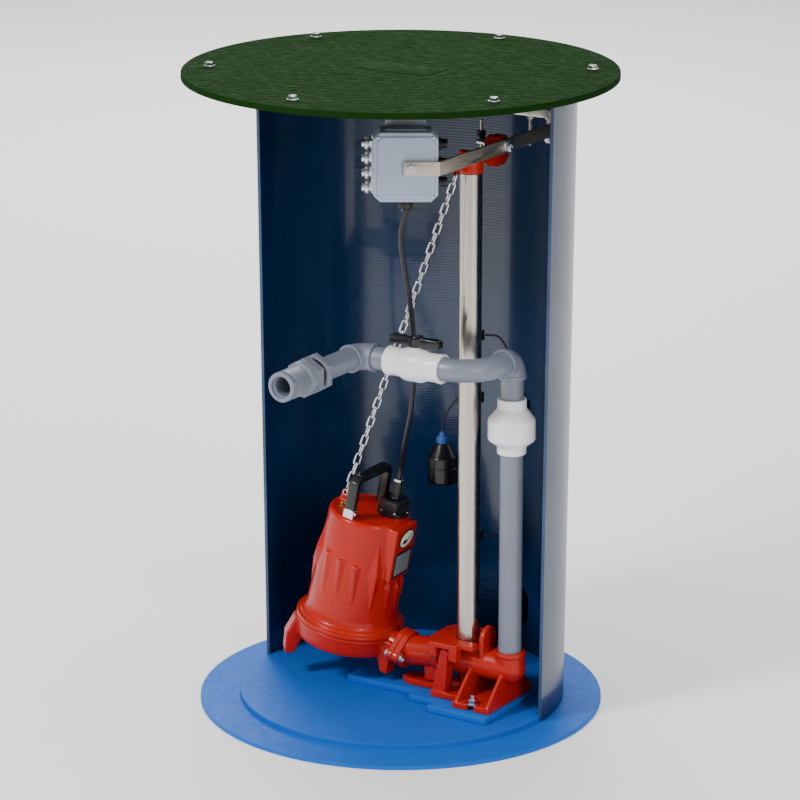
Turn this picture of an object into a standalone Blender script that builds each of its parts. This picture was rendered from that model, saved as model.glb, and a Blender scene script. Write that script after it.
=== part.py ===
"""Simplex grinder-pump station with the front half of its basin cut away.

Metres, +Z up.  The origin is the centre of the base flange's underside, +X runs from
the pump to the discharge riser, and the open front of the basin faces -Y.
"""

import math

import bmesh
import bpy
from mathutils import Matrix, Vector

GAP = 0.0003

# Base, basin and cover
FLANGE_RADIUS = 0.376
FLANGE_THICK = 0.0074
FLOOR_TOP = 0.0184
FLOOR_RADIUS = 0.302
WALL = 0.00635
WALL_OUTER_BOTTOM = 0.3055
WALL_OUTER_TOP = 0.3168
RIM_RADIUS = 0.366
RIM_THICK = 0.008
COVER_RADIUS = 0.393
COVER_THICK = 0.0135
STATION_HEIGHT = 1.194
COVER_UNDER = STATION_HEIGHT - COVER_THICK
COVER_BOLTS = 6
COVER_BOLT_CIRCLE = 0.343

# Pad and base elbow
PAD_TOP = 0.0315
PLATE_UNDER = PAD_TOP + GAP
PLATE_TOP = 0.0435
BARREL_Z = 0.1005
BARREL_RADIUS = 0.0285
FACE_X = 0.1003
BORE = 0.0165

# Pipes: 1-1/4 inch nominal
PIPE_RADIUS = 0.0211
PIPE_BORE = 0.0175
SOCKET_BORE = PIPE_RADIUS + 0.0008
SOCKET_RADIUS = 0.0268
RISER_X = 0.2375
RAIL_X = 0.148
RAIL_BOTTOM = 0.140
RAIL_TOP = 1.021

# Discharge line
LINE_Z = 0.6885
LINE_Y = -0.121
OUTLET_X = -0.0105
OUTLET_END_Y = -0.373
SWEEP_RADIUS = 0.07
VALVE_X = 0.1095
VALVE_HALF = 0.0575
CHECK_BOTTOM = 0.5135
CHECK_TOP = 0.6165
CHAMBER_RADIUS = 0.0375
SEAT_TOP = 0.5425

# Pump, in its own leaning frame: z up its shaft, x towards its discharge
PUMP_AT = Vector((-0.111, 0.0, 0.1415))
PUMP_LEAN = math.radians(11.0)
HOUSING_TOP = 0.215
DISCHARGE_Z = -0.0235
DISCHARGE_FACE = 0.1278
SHAFT_RADIUS = 0.009
PAD_TURN = 3
PAD_FACE = 0.0858
GLAND_X = 0.0365
GLAND_Y = 0.027

# Junction box, in its own frame: z up, x along its face, y into the box
BOX_AT = Vector((0.119, -0.1705, 0.995))
BOX_TURN = math.atan2(0.537, 0.843)
BOX_WIDTH = 0.1135
BOX_HEIGHT = 0.124
BOX_DEPTH = 0.062
LID_DEPTH = 0.016

# Brace strap
STRAP_X = 0.1675
STRAP_THICK = 0.005
STRAP_Z = 1.0565
STRAP_BACK_Y = 0.250

# Floats
ROD_AT = (0.095, 0.123)
ROD_RADIUS = 0.003
ROD_TOP = 1.090
CLAMP_HEIGHTS = {"low": 0.298, "high": 0.566, "alarm": 0.685}
FLOAT_AT = {"low": (0.155, 0.150), "high": (0.022, 0.112), "alarm": (0.155, 0.150)}
FLOAT_TOPS = {"low": 0.205, "high": 0.468, "alarm": 0.585}
FLOAT_RADIUS = 0.0285
FLOAT_HEIGHT = 0.077

# Chain and power cord
CHAIN_TOP = Vector((0.1185, 0.0, 1.0085))
CHAIN_LUG = Vector((-0.0535, 0.0, 0.2315))
CHAIN_RADIUS = 0.0055
CORD_RADIUS = 0.0047

SEGMENTS = 16


# ---------------------------------------------------------------- helpers


def clear_scene():
    for obj in list(bpy.data.objects):
        bpy.data.objects.remove(obj)


def material(name, colour, roughness, metallic=0.0):
    made = bpy.data.materials.get(name) or bpy.data.materials.new(name)
    made.use_nodes = True
    shader = made.node_tree.nodes["Principled BSDF"]
    shader.inputs["Base Color"].default_value = (*colour, 1.0)
    shader.inputs["Roughness"].default_value = roughness
    shader.inputs["Metallic"].default_value = metallic
    return made


def red_iron():
    return material("red_enamelled_iron", (0.52, 0.028, 0.014), 0.32)


def blue_plastic():
    return material("blue_base_plastic", (0.009, 0.13, 0.45), 0.45)


def fibreglass():
    return material("navy_fibreglass", (0.006, 0.024, 0.07), 0.3)


def green_plastic():
    return material("green_cover_plastic", (0.012, 0.06, 0.012), 0.6)


def stainless():
    return material("stainless_steel", (0.55, 0.53, 0.5), 0.25, 1.0)


def grey_pvc():
    return material("grey_pvc", (0.18, 0.2, 0.25), 0.4)


def white_pvc():
    return material("white_pvc", (0.85, 0.85, 0.85), 0.35)


def box_plastic():
    return material("blue_grey_box_plastic", (0.38, 0.44, 0.55), 0.45)


def black_rubber():
    return material("black_rubber", (0.012, 0.012, 0.012), 0.5)


def black_plastic():
    return material("black_plastic", (0.015, 0.015, 0.016), 0.4)


def steel():
    return material("bright_steel", (0.6, 0.6, 0.62), 0.3, 1.0)


def dark_steel():
    return material("laminated_steel", (0.12, 0.12, 0.13), 0.5, 1.0)


def link(name, mesh, look, smooth=True):
    obj = bpy.data.objects.new(name, mesh)
    bpy.context.scene.collection.objects.link(obj)
    dress(obj, look, smooth)
    return obj


def dress(obj, look, smooth=True):
    obj.data.materials.clear()
    obj.data.materials.append(look)
    if smooth:
        obj.data.shade_smooth()
        obj.data.set_sharp_from_angle(angle=math.radians(35))


def mesh_from(name, bm):
    bmesh.ops.recalc_face_normals(bm, faces=bm.faces)
    mesh = bpy.data.meshes.new(name)
    bm.to_mesh(mesh)
    bm.free()
    return mesh


def place(obj, at=(0, 0, 0), turn=(0, 0, 0)):
    """Puts an object at a point, turned by Euler angles in degrees."""
    obj.location = at
    obj.rotation_euler = [math.radians(a) for a in turn]
    return obj


def turned(name, outline, look, steps=SEGMENTS, sweep=math.tau):
    """A solid turned about Z from a closed outline of (radius, height) points."""
    bm = bmesh.new()
    verts = [bm.verts.new((r, 0, z)) for r, z in outline]
    sides = zip(verts, verts[1:] + verts[:1])
    edges = [bm.edges.new(side) for side in sides if side[0].co.x > 0 or side[1].co.x > 0]
    bmesh.ops.spin(
        bm, geom=verts + edges, cent=(0, 0, 0), axis=(0, 0, 1), dvec=(0, 0, 0),
        angle=sweep, steps=steps, use_merge=sweep == math.tau,
    )
    bmesh.ops.remove_doubles(bm, verts=bm.verts, dist=1e-6)
    rims = [edge for edge in bm.edges if edge.is_boundary]
    if rims:
        bmesh.ops.holes_fill(bm, edges=rims, sides=0)
    return link(name, mesh_from(name, bm), look)


def rod(name, radius, bottom, top, look, steps=SEGMENTS):
    outline = [(0, bottom), (radius, bottom), (radius, top), (0, top)]
    return turned(name, outline, look, steps)


def ring(name, inner, outer, bottom, top, look, steps=SEGMENTS):
    outline = [(inner, bottom), (outer, bottom), (outer, top), (inner, top)]
    return turned(name, outline, look, steps)


def ball(name, radius, look, steps=SEGMENTS):
    half = steps // 2
    angles = [math.pi * i / half - math.pi / 2 for i in range(half + 1)]
    outline = [(max(0.0, radius * math.cos(a)), radius * math.sin(a)) for a in angles]
    outline[0] = (0, -radius)
    outline[-1] = (0, radius)
    return turned(name, outline, look, steps)


def prism(name, outline, bottom, top, look, along="Z"):
    """An outline drawn across one axis and extruded along it."""
    frames = {
        "X": lambda a, b: (bottom, a, b),
        "Y": lambda a, b: (a, bottom, b),
        "Z": lambda a, b: (a, b, bottom),
    }
    step = {"X": (1, 0, 0), "Y": (0, 1, 0), "Z": (0, 0, 1)}[along]
    bm = bmesh.new()
    face = bm.faces.new([bm.verts.new(frames[along](a, b)) for a, b in outline])
    grown = bmesh.ops.extrude_face_region(bm, geom=[face])["geom"]
    verts = [item for item in grown if isinstance(item, bmesh.types.BMVert)]
    bmesh.ops.translate(bm, verts=verts, vec=Vector(step) * (top - bottom))
    return link(name, mesh_from(name, bm), look)


def block(name, low, high, look):
    (x0, y0, z0), (x1, y1, z1) = low, high
    return prism(name, [(x0, y0), (x1, y0), (x1, y1), (x0, y1)], z0, z1, look)


def hexagon(across_flats, start=30):
    radius = across_flats / math.sqrt(3)
    angles = [math.radians(start + 60 * i) for i in range(6)]
    return [(radius * math.cos(a), radius * math.sin(a)) for a in angles]


def arc(centre, radius, start, end, count):
    angles = [math.radians(start + (end - start) * i / count) for i in range(count + 1)]
    return [(centre[0] + radius * math.cos(a), centre[1] + radius * math.sin(a)) for a in angles]


def bevel(obj, width, segments=1, limit=40):
    mod = obj.modifiers.new("Bevel", "BEVEL")
    mod.width = width
    mod.segments = segments
    mod.angle_limit = math.radians(limit)
    settle(obj)
    return obj


def settle(obj):
    """Turns the object's modifiers into its mesh."""
    look = obj.data.materials[0]
    bpy.context.view_layer.update()
    graph = bpy.context.evaluated_depsgraph_get()
    mesh = bpy.data.meshes.new_from_object(obj.evaluated_get(graph))
    obj.modifiers.clear()
    obj.data = mesh
    dress(obj, look)


def combine(base, others, operation):
    for other in others:
        mod = base.modifiers.new(operation.title(), "BOOLEAN")
        mod.operation = operation
        mod.object = other
        settle(base)
        bpy.data.objects.remove(other)
    return base


def fuse(base, *others):
    return combine(base, others, "UNION")


def cut(base, *others):
    return combine(base, others, "DIFFERENCE")


def smooth_route(route, spacing):
    """Points at an even spacing along a smooth curve through the route's own points."""
    points = [Vector(p) for p in route]
    ends = [2 * points[0] - points[1], *points, 2 * points[-1] - points[-2]]
    fine = []
    for a, b, c, d in zip(ends, ends[1:], ends[2:], ends[3:]):
        for i in range(40):
            t = i / 40
            turn = (c - a) * t + (2 * a - 5 * b + 4 * c - d) * t**2 + (3 * b - a - 3 * c + d) * t**3
            fine.append(b + turn / 2)
    fine.append(points[-1])
    lengths = [0.0]
    for a, b in zip(fine, fine[1:]):
        lengths.append(lengths[-1] + (b - a).length)
    count = max(1, round(lengths[-1] / spacing))
    even = []
    at = 0
    for i in range(count + 1):
        want = lengths[-1] * i / count
        while at < len(fine) - 2 and lengths[at + 1] < want:
            at += 1
        share = (want - lengths[at]) / (lengths[at + 1] - lengths[at])
        even.append(fine[at].lerp(fine[at + 1], min(1.0, share)))
    return even


def tube(name, points, radius, look, resolution=2):
    curve = bpy.data.curves.new(name, "CURVE")
    curve.dimensions = "3D"
    curve.bevel_depth = radius
    curve.bevel_resolution = resolution
    curve.use_fill_caps = True
    spline = curve.splines.new("POLY")
    spline.points.add(len(points) - 1)
    for point, at in zip(spline.points, points):
        point.co = (*at, 1.0)
    obj = bpy.data.objects.new(name, curve)
    bpy.context.scene.collection.objects.link(obj)
    curve.materials.append(look)
    return obj


def hollow_sweep(name, path, outer, inner, look, steps=SEGMENTS):
    """A pipe swept along a flat path, with rings square to it and open ends."""
    bm = bmesh.new()
    rings = []
    for i, at in enumerate(path):
        ahead = path[min(i + 1, len(path) - 1)] - path[max(i - 1, 0)]
        side = ahead.cross(Vector((0, 0, 1))).normalized()
        for radius in (outer, inner):
            angles = [math.tau * k / steps for k in range(steps)]
            spots = [at + radius * (side * math.cos(a) + Vector((0, 0, math.sin(a)))) for a in angles]
            rings.append([bm.verts.new(spot) for spot in spots])
    last = len(rings) - 2
    joins = [(i, i + 2) for i in range(last)] + [(0, 1), (last, last + 1)]
    for a, b in joins:
        for k in range(steps):
            n = (k + 1) % steps
            bm.faces.new((rings[a][k], rings[a][n], rings[b][n], rings[b][k]))
    return link(name, mesh_from(name, bm), look)


def frame_at(name, at, rotation=(0, 0, 0)):
    empty = bpy.data.objects.new(name, None)
    empty.location = at
    empty.rotation_euler = rotation
    bpy.context.scene.collection.objects.link(empty)
    return empty


def attach(parent, *objects):
    for obj in objects:
        obj.parent = parent


# ---------------------------------------------------------------- base and basin


def make_base_flange():
    edge = 0.001
    outline = [
        (0, 0), (FLANGE_RADIUS, 0), (FLANGE_RADIUS, FLANGE_THICK - edge),
        (FLANGE_RADIUS - edge, FLANGE_THICK), (FLOOR_RADIUS, FLANGE_THICK),
        (FLOOR_RADIUS, FLOOR_TOP - edge), (FLOOR_RADIUS - edge, FLOOR_TOP), (0, FLOOR_TOP),
    ]
    turned("base_flange", outline, blue_plastic(), 56)


def make_mounting_pad():
    """Three strips that widen towards the riser."""
    steps = [(-0.096, 0.041), (0.057, 0.066), (0.115, 0.096), (0.2425, None)]
    near = []
    for (x0, half), (x1, _) in zip(steps, steps[1:]):
        near += [(x0, -half), (x1, -half)]
    outline = near + [(x, -y) for x, y in reversed(near)]
    bevel(prism("mounting_pad", outline, FLOOR_TOP + GAP, PAD_TOP, blue_plastic()), 0.001)


def make_basin():
    foot = FLANGE_THICK + GAP
    sill = FLOOR_TOP + GAP
    top = COVER_UNDER - GAP
    outline = [
        (FLOOR_RADIUS + 0.001, foot), (WALL_OUTER_BOTTOM, foot),
        (WALL_OUTER_TOP, top - RIM_THICK), (RIM_RADIUS, top - RIM_THICK), (RIM_RADIUS, top),
        (WALL_OUTER_TOP - WALL, top), (WALL_OUTER_BOTTOM - WALL, sill), (FLOOR_RADIUS + 0.001, sill),
    ]
    basin = turned("basin_shell", outline, fibreglass(), 32, math.pi)
    cut(basin, *[bolt_hole(spot) for spot in cover_bolt_spots() if spot[1] > 0])


def cover_bolt_spots():
    angles = [math.tau * (i + 0.5) / COVER_BOLTS for i in range(COVER_BOLTS)]
    return [(COVER_BOLT_CIRCLE * math.cos(a), COVER_BOLT_CIRCLE * math.sin(a)) for a in angles]


def bolt_hole(spot):
    """A clearance hole through the cover and the basin's rim."""
    hole = rod("hole", 0.0058, -0.05, 0.05, green_plastic(), 8)
    return place(hole, (*spot, STATION_HEIGHT), (0, 0, 7))


def make_cover():
    edge = 0.0015
    outline = [
        (0, COVER_UNDER), (COVER_RADIUS, COVER_UNDER), (COVER_RADIUS, STATION_HEIGHT - edge),
        (COVER_RADIUS - edge, STATION_HEIGHT), (0, STATION_HEIGHT),
    ]
    cover = turned("cover", outline, green_plastic(), 56)
    cut(cover, *[bolt_hole(spot) for spot in cover_bolt_spots()])
    for i, spot in enumerate(cover_bolt_spots(), 1):
        bolt = rod(f"cover_bolt_{i}", 0.0105, GAP, 0.0023, steel(), 10)
        head = prism("head", hexagon(0.0145), 0.002, 0.0083, steel())
        shank = rod("shank", 0.0048, -COVER_THICK - 0.006, 0.003, steel(), 6)
        place(fuse(bolt, head, shank), (*spot, STATION_HEIGHT))


# ---------------------------------------------------------------- rail, elbow and brackets


def make_base_elbow():
    look = red_iron()
    plate_line = [
        (0.012, -0.012), (0.03, -0.022), (0.092, -0.022), (0.098, -0.052), (0.155, -0.052),
        (0.162, -0.079), (0.239, -0.079),
    ]
    outline = plate_line + [(x, -y) for x, y in reversed(plate_line)]
    elbow = prism("base_elbow", outline, PLATE_UNDER, PLATE_TOP, look)
    notch_x = 0.2
    for side in (-1, 1):
        notch = [(notch_x + 0.007, 0.09), *arc((notch_x, 0.067), 0.007, 0, -180, 6), (notch_x - 0.007, 0.09)]
        cut(elbow, prism("notch", [(x, y * side) for x, y in notch], 0.01, 0.06, look))
    barrel_out = FACE_X + GAP
    barrel_end = RISER_X - barrel_out + 0.0012
    barrel = [
        (0, 0), (0.0308, 0), (0.0308, 0.009), (BARREL_RADIUS, 0.0115),
        (BARREL_RADIUS, barrel_end), (0, barrel_end),
    ]
    solids = [
        place(turned("barrel", barrel, look), (barrel_out, 0, BARREL_Z), (0, 90, 0)),
        place(ball("heel", 0.0292, look, 14), (RISER_X, 0, BARREL_Z)),
        place(rod("hub", 0.0275, 0, 0.0335, look), (RISER_X, 0, BARREL_Z)),
        place(rod("rail_seat", 0.0205, 0.01, 0.0392, look), (RAIL_X, 0, BARREL_Z)),
        place(rod("rail_plug", 0.0160, 0.03, 0.062, look, 16), (RAIL_X, 0, BARREL_Z)),
    ]
    shoulder = PLATE_TOP + 0.002
    web = [
        (-0.0775, 0.036), (0.0775, 0.036), (0.0775, shoulder),
        (0.024, 0.097), (-0.024, 0.097), (-0.0775, shoulder),
    ]
    solids += [prism("web", web, x, x + 0.0065, look, "X") for x in (0.1655, 0.2315)]
    for side in (-1, 1):
        near, far = 0.0405 * side, 0.0505 * side
        claw = [(0.0975, 0.036), (0.127, 0.036), (0.1335, 0.112)]
        claw += arc((0.1262, 0.1195), 0.0096, -20, 200, 8)
        claw += [(0.1145, 0.108)]
        solids.append(prism("claw", claw, near, far, look, "Y"))
        brace = [(0.02 * side, 0.036), (near, 0.036), (near, 0.095), (0.02 * side, 0.085)]
        solids.append(prism("brace", brace, 0.119, 0.127, look, "X"))
    ear = [(-0.0215, 0.11), (0.0215, 0.11), *arc((0, 0.1515), 0.0215, 0, 180, 12)]
    solids.append(prism("ear", ear, 0.186, 0.195, look, "X"))
    fin = [(0.173, 0.12), (0.188, 0.12), (0.188, 0.152)]
    solids.append(prism("fin", fin, -0.003, 0.003, look, "Y"))
    fuse(elbow, *solids)
    cut(
        elbow,
        place(rod("bore", BORE, -0.01, barrel_end + 0.0017, look, 18), (barrel_out, 0, BARREL_Z), (0, 90, 0)),
        place(rod("riser_bore", BORE + GAP, -0.002, 0.05, look, 16), (RISER_X, 0, BARREL_Z), (0, 0, 5)),
        place(rod("socket", SOCKET_BORE, 0.015, 0.06, look), (RISER_X, 0, BARREL_Z)),
        place(rod("ear_hole", 0.0042, -0.02, 0.02, look, 12), (0.19, 0, 0.1595), (0, 90, 0)),
    )
    for side, where in ((-1, "front"), (1, "back")):
        anchor = rod("anchor_bolt_" + where, 0.0125, GAP, 0.0025, steel(), 12)
        nut = prism("nut", hexagon(0.0165), 0.0022, 0.0105, steel())
        stud = rod("stud", 0.0048, 0.002, 0.0175, steel(), 8)
        place(fuse(anchor, nut, stud), (notch_x, 0.069 * side, PLATE_TOP))


def make_guide_rail():
    rail = ring("guide_rail", PIPE_BORE, PIPE_RADIUS, RAIL_BOTTOM, RAIL_TOP, stainless(), 28)
    place(rail, (RAIL_X, 0, 0))


def make_upper_bracket():
    look = red_iron()
    crown = RAIL_TOP + 0.0225
    plug = place(turned("upper_guide_bracket", [
        (0, RAIL_TOP - 0.022), (0.0168, RAIL_TOP - 0.022), (0.0168, RAIL_TOP + GAP),
        (0.0218, RAIL_TOP + GAP), (0.0218, crown), (0, crown),
    ], look, 8), (RAIL_X, 0, 0), (0, 0, 22.5))
    arm = [(-0.026, 1.040), (0.058, 1.030), (0.072, 1.018), (0.1, 1.018), (0.115, 1.03), (0.115, 1.062),
           (0.104, 1.072), (0.072, 1.072), (0.06, 1.056), (-0.01, 1.054), (-0.014, 1.064), (-0.026, 1.064)]
    fuse(
        plug,
        prism("arm", arm, RAIL_X - 0.0105, RAIL_X + 0.0105, look, "X"),
        place(rod("boss", 0.0165, -0.0145, 0.0145, look), (RAIL_X, 0.087, STRAP_Z), (0, 90, 0)),
        place(ring("eye", 0.0038, 0.0065, -0.0035, 0.0035, look, 12), (0.1185, 0, 1.0155), (90, 0, 0)),
        block("hanger", (0.1150, -0.003, 1.0215), (0.1295, 0.003, 1.0305), look),
    )
    cut(plug, place(rod("stud_hole", 0.0052, -0.03, 0.03, look, 10), (RAIL_X, 0.087, STRAP_Z), (0, 90, 0)))


def make_brace_strap():
    """A flat bar on edge, bent towards the junction box's face."""
    look = stainless()
    low, high = STRAP_Z - 0.0125, STRAP_Z + 0.0125
    toward = Vector((-math.cos(BOX_TURN), -math.sin(BOX_TURN)))
    out = Vector((math.sin(BOX_TURN), -math.cos(BOX_TURN)))
    bend_y = BOX_AT.y + ((STRAP_X - BOX_AT.x) * out.x - 2 * GAP) / -out.y
    bend = Vector((STRAP_X, bend_y))
    tip = bend + toward * 0.061
    width = STRAP_THICK
    outline = [
        (STRAP_X, STRAP_BACK_Y), bend, tip, tip + out * width,
        bend + out * width + Vector((width * 0.55, 0)), (STRAP_X + width, STRAP_BACK_Y),
    ]
    strap = prism("brace_strap", [tuple(p) for p in outline], low, high, look)
    foot = block("foot", (STRAP_X - 0.008, STRAP_BACK_Y - 0.0035, 1.03), (0.1795, STRAP_BACK_Y, 1.086), look)
    fuse(strap, foot)
    cut(strap, place(rod("hole", 0.0052, -0.02, 0.02, look, 10), (STRAP_X, 0.087, STRAP_Z), (0, 90, 0)))


def make_wall_bracket():
    """A shelf angle across the top of the basin, with the rod that hangs from it."""
    look = stainless()
    shelf_line = [(0.1, 0.197), (0.2335, 0.197), (0.2085, 0.225), (0.1, 0.225)]
    shelf = prism("wall_bracket", shelf_line, 1.0885, 1.0925, look)
    lip = block("lip", (0.1, 0.197, 1.0885), (0.2335, 0.2005, 1.104), look)
    fuse(shelf, lip, place(rod("hanger_rod", 0.004, 1.032, 1.091, look, 10), (0.149, 0.207, 0)))


def make_bracket_stud():
    """The stud that clamps the strap to the guide bracket, with its washer and two nuts."""
    look = stainless()
    at = (STRAP_X + STRAP_THICK, 0.087, STRAP_Z)
    stud = rod("bracket_stud", 0.0046, -0.064, 0.0125, look, 10)
    washer = rod("washer", 0.0105, GAP, 0.002, look, 12)
    nut = prism("nut", hexagon(0.0145), 0.0015, 0.009, look)
    back_nut = prism("back_nut", hexagon(0.0145), -0.0475, -0.0405, look)
    place(fuse(stud, washer, nut, back_nut), at, (0, 90, 0))


# ---------------------------------------------------------------- junction box


def make_junction_box():
    """Box, lid, hanger, connectors and gland, facing the open front."""
    frame = frame_at("junction_box_frame", BOX_AT, (0, 0, BOX_TURN))
    half = BOX_WIDTH / 2
    high = BOX_HEIGHT
    corner = 0.012
    outline = [
        (-half + corner, 0), (half - corner, 0), (half, corner), (half, high - corner),
        (half - corner, high), (-half + corner, high), (-half, high - corner), (-half, corner),
    ]

    def shrink(amount):
        mid = high / 2
        return [(x * (1 - amount / half), mid + (z - mid) * (1 - amount / mid)) for x, z in outline]

    wall = 0.003
    body = prism("junction_box", outline, LID_DEPTH + GAP, BOX_DEPTH, box_plastic(), "Y")
    cut(body, prism("hollow", shrink(wall), LID_DEPTH, BOX_DEPTH - wall, box_plastic(), "Y"))
    lid = bevel(prism("junction_box_lid", outline, 0.003, LID_DEPTH, box_plastic(), "Y"), 0.002)
    fuse(lid, prism("panel", shrink(0.006), 0, 0.006, box_plastic(), "Y"))
    cut(lid, prism("hollow", shrink(0.005), 0.006, BOX_DEPTH, box_plastic(), "Y"))
    hanger = block("box_hanger", (-0.036, 0.018, high + GAP), (0.036, 0.056, high + 0.003), stainless())
    tab = block("tab", (-0.036, 0.053, high + GAP), (0.036, 0.056, 0.1852), stainless())
    fuse(hanger, tab)
    strip = (-half - 0.0045, 0.031, 0.012), (-half - GAP, 0.041, 0.112)
    connectors = block("cord_connectors", *strip, stainless())
    for i in range(4):
        profile = [(0, 0.001), (0.0065, 0.001), (0.0065, 0.0065), (0.0095, 0.0065), (0.0095, 0.0135),
                   (0.0055, 0.0135), (0.0055, 0.019), (0, 0.019)]
        fitting = turned("fitting", profile, stainless(), 8)
        fuse(connectors, place(fitting, (-half - 0.001, 0.036, 0.02 + i * 0.0262), (0, -90, 0)))
    gland_at = (0, 0.036, 0)
    gland = turned("box_gland", [
        (CORD_RADIUS + 0.0004, -GAP), (0.0105, -GAP), (0.0105, -0.008), (0.0125, -0.008),
        (0.0125, -0.017), (0.0085, -0.023), (CORD_RADIUS + 0.0004, -0.023),
    ], black_plastic(), 16)
    place(gland, gland_at)
    attach(frame, body, lid, hanger, connectors, gland)


# ---------------------------------------------------------------- riser and discharge line


def make_riser_pipe():
    pipe = ring("riser_pipe", PIPE_BORE, PIPE_RADIUS, BARREL_Z + 0.0155, CHECK_BOTTOM + 0.021, grey_pvc())
    place(pipe, (RISER_X, 0, 0))


def make_check_valve():
    outer = [
        (SOCKET_BORE, CHECK_BOTTOM), (0.0265, CHECK_BOTTOM), (0.0265, 0.5275), (0.0435, 0.541),
        (0.0435, 0.579), (0.0265, 0.599), (0.0265, CHECK_TOP), (SOCKET_BORE, CHECK_TOP),
    ]
    inner = [
        (SOCKET_BORE, CHECK_TOP - 0.0203), (0.0190, CHECK_TOP - 0.0203), (CHAMBER_RADIUS, 0.577),
        (CHAMBER_RADIUS, SEAT_TOP), (0.0165, SEAT_TOP), (0.0165, CHECK_BOTTOM + 0.0213),
        (SOCKET_BORE, CHECK_BOTTOM + 0.0213),
    ]
    outline = outer + inner
    place(turned("check_valve_body", outline, white_pvc()), (RISER_X, 0, 0))
    hinge = frame_at("flapper_hinge", (RISER_X + 0.0285, 0, SEAT_TOP + 0.0035))
    look = black_rubber()
    disc = place(rod("check_flapper", 0.0215, SEAT_TOP + GAP, SEAT_TOP + 0.003, look, 24), (RISER_X, 0, 0))
    corners = (RISER_X + 0.012, -0.005, SEAT_TOP + 0.0015), (RISER_X + 0.029, 0.005, SEAT_TOP + 0.0045)
    arm = block("arm", *corners, look)
    knuckle = place(rod("knuckle", 0.0028, -0.011, 0.011, look, 12), hinge.location, (90, 0, 0))
    fuse(disc, arm, knuckle)
    disc.data.transform(Matrix.Translation(Vector((RISER_X, 0, 0)) - hinge.location))
    disc.location = (0, 0, 0)
    attach(hinge, disc)


def elbow_fitting(name, corner, spigot_turn, spigot, socket_turn, look):
    """A right-angle fitting: a socket down one arm, and a length of pipe welded in down the other.

    Each turn is the Euler triple that points +Z down its arm.
    """
    arm = 0.0347
    solid = place(ball(name, SOCKET_RADIUS + 0.0006, look, 12), corner)
    fuse(
        solid,
        place(rod("arm", SOCKET_RADIUS, 0, arm, look), corner, spigot_turn),
        place(rod("pipe", PIPE_RADIUS, 0.01, spigot, look), corner, spigot_turn),
        place(rod("arm", SOCKET_RADIUS, 0, arm, look), corner, socket_turn),
    )
    cut(
        solid,
        place(ball("heart", PIPE_BORE + 0.0005, look, 10), corner, (0, 0, 3)),
        place(rod("bore", PIPE_BORE, 0, spigot + 0.01, look, 12), corner, spigot_turn),
        place(rod("bore", PIPE_BORE, 0, arm + 0.01, look, 12), corner, socket_turn),
        place(rod("socket", SOCKET_BORE, 0.018, arm + 0.01, look), corner, socket_turn),
    )


def make_discharge_line():
    look = grey_pvc()
    down, forward, right = (180, 0, 0), (90, 0, 0), (0, 90, 0)
    riser_top = (RISER_X, 0, LINE_Z)
    elbow_fitting("riser_elbow", riser_top, down, LINE_Z - CHECK_TOP + 0.02, forward, look)
    corner = (OUTLET_X, LINE_Y, LINE_Z)
    valve_end = VALVE_X - VALVE_HALF
    elbow_fitting("discharge_elbow", corner, right, valve_end + 0.0205 - OUTLET_X, forward, look)
    bend = [Vector((RISER_X, -0.0183, LINE_Z))]
    centre = (RISER_X - SWEEP_RADIUS, LINE_Y + SWEEP_RADIUS)
    bend += [Vector((x, y, LINE_Z)) for x, y in arc(centre, SWEEP_RADIUS, 0, -90, 8)]
    bend.append(Vector((VALVE_X + VALVE_HALF - 0.0205, LINE_Y, LINE_Z)))
    hollow_sweep("sweep_bend", bend, PIPE_RADIUS, PIPE_BORE, look)
    outlet = ring("outlet_pipe", PIPE_BORE, PIPE_RADIUS, -LINE_Y + 0.0183, 0.278, look)
    place(outlet, (OUTLET_X, 0, LINE_Z), forward)


def make_ball_valve():
    white = white_pvc()
    seat = 0.0250
    stop = VALVE_HALF - 0.0207
    half_outline = [
        (0.0262, seat - 0.003), (PIPE_BORE, seat), (PIPE_BORE, stop), (SOCKET_BORE, stop),
        (SOCKET_BORE, VALVE_HALF), (0.0258, VALVE_HALF), (0.0258, 0.028), (0.0312, 0.014),
    ]
    outline = half_outline + [(r, -z) for r, z in reversed(half_outline)]
    body = place(turned("ball_valve_body", outline, white), (VALVE_X, LINE_Y, LINE_Z), (0, 90, 0))
    fuse(body, place(rod("neck", 0.0115, 0.0285, 0.0335, white, 16), (VALVE_X, LINE_Y, LINE_Z)))
    cut(body, place(rod("stem_bore", 0.0062, 0.02, 0.05, white, 16), (VALVE_X, LINE_Y, LINE_Z)))
    axis = frame_at("valve_stem_axis", (VALVE_X, LINE_Y, LINE_Z))
    ball_solid = ball("valve_ball", 0.0242, white, 14)
    cut(
        ball_solid,
        place(rod("port", 0.0155, -0.04, 0.04, white, 16), turn=(0, 90, 4)),
        block("slot", (-0.02, -0.0022, 0.0205), (0.02, 0.0022, 0.03), white),
    )
    black = black_plastic()
    handle = rod("valve_handle", 0.0155, 0.0338, 0.0515, black, 18)
    wing = [
        (-0.052, 0.0375), (-0.048, 0.0355), (0.048, 0.0355), (0.052, 0.0375),
        (0.052, 0.0455), (0.048, 0.048), (-0.048, 0.048), (-0.052, 0.0455),
    ]
    fuse(
        handle,
        prism("wings", wing, -0.0065, 0.0065, black, "Y"),
        rod("stem", 0.0056, 0.0249, 0.04, black, 12),
        block("key", (-0.0055, -0.0018, 0.0209), (0.0055, 0.0018, 0.026), black),
    )
    attach(axis, ball_solid, handle)


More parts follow.
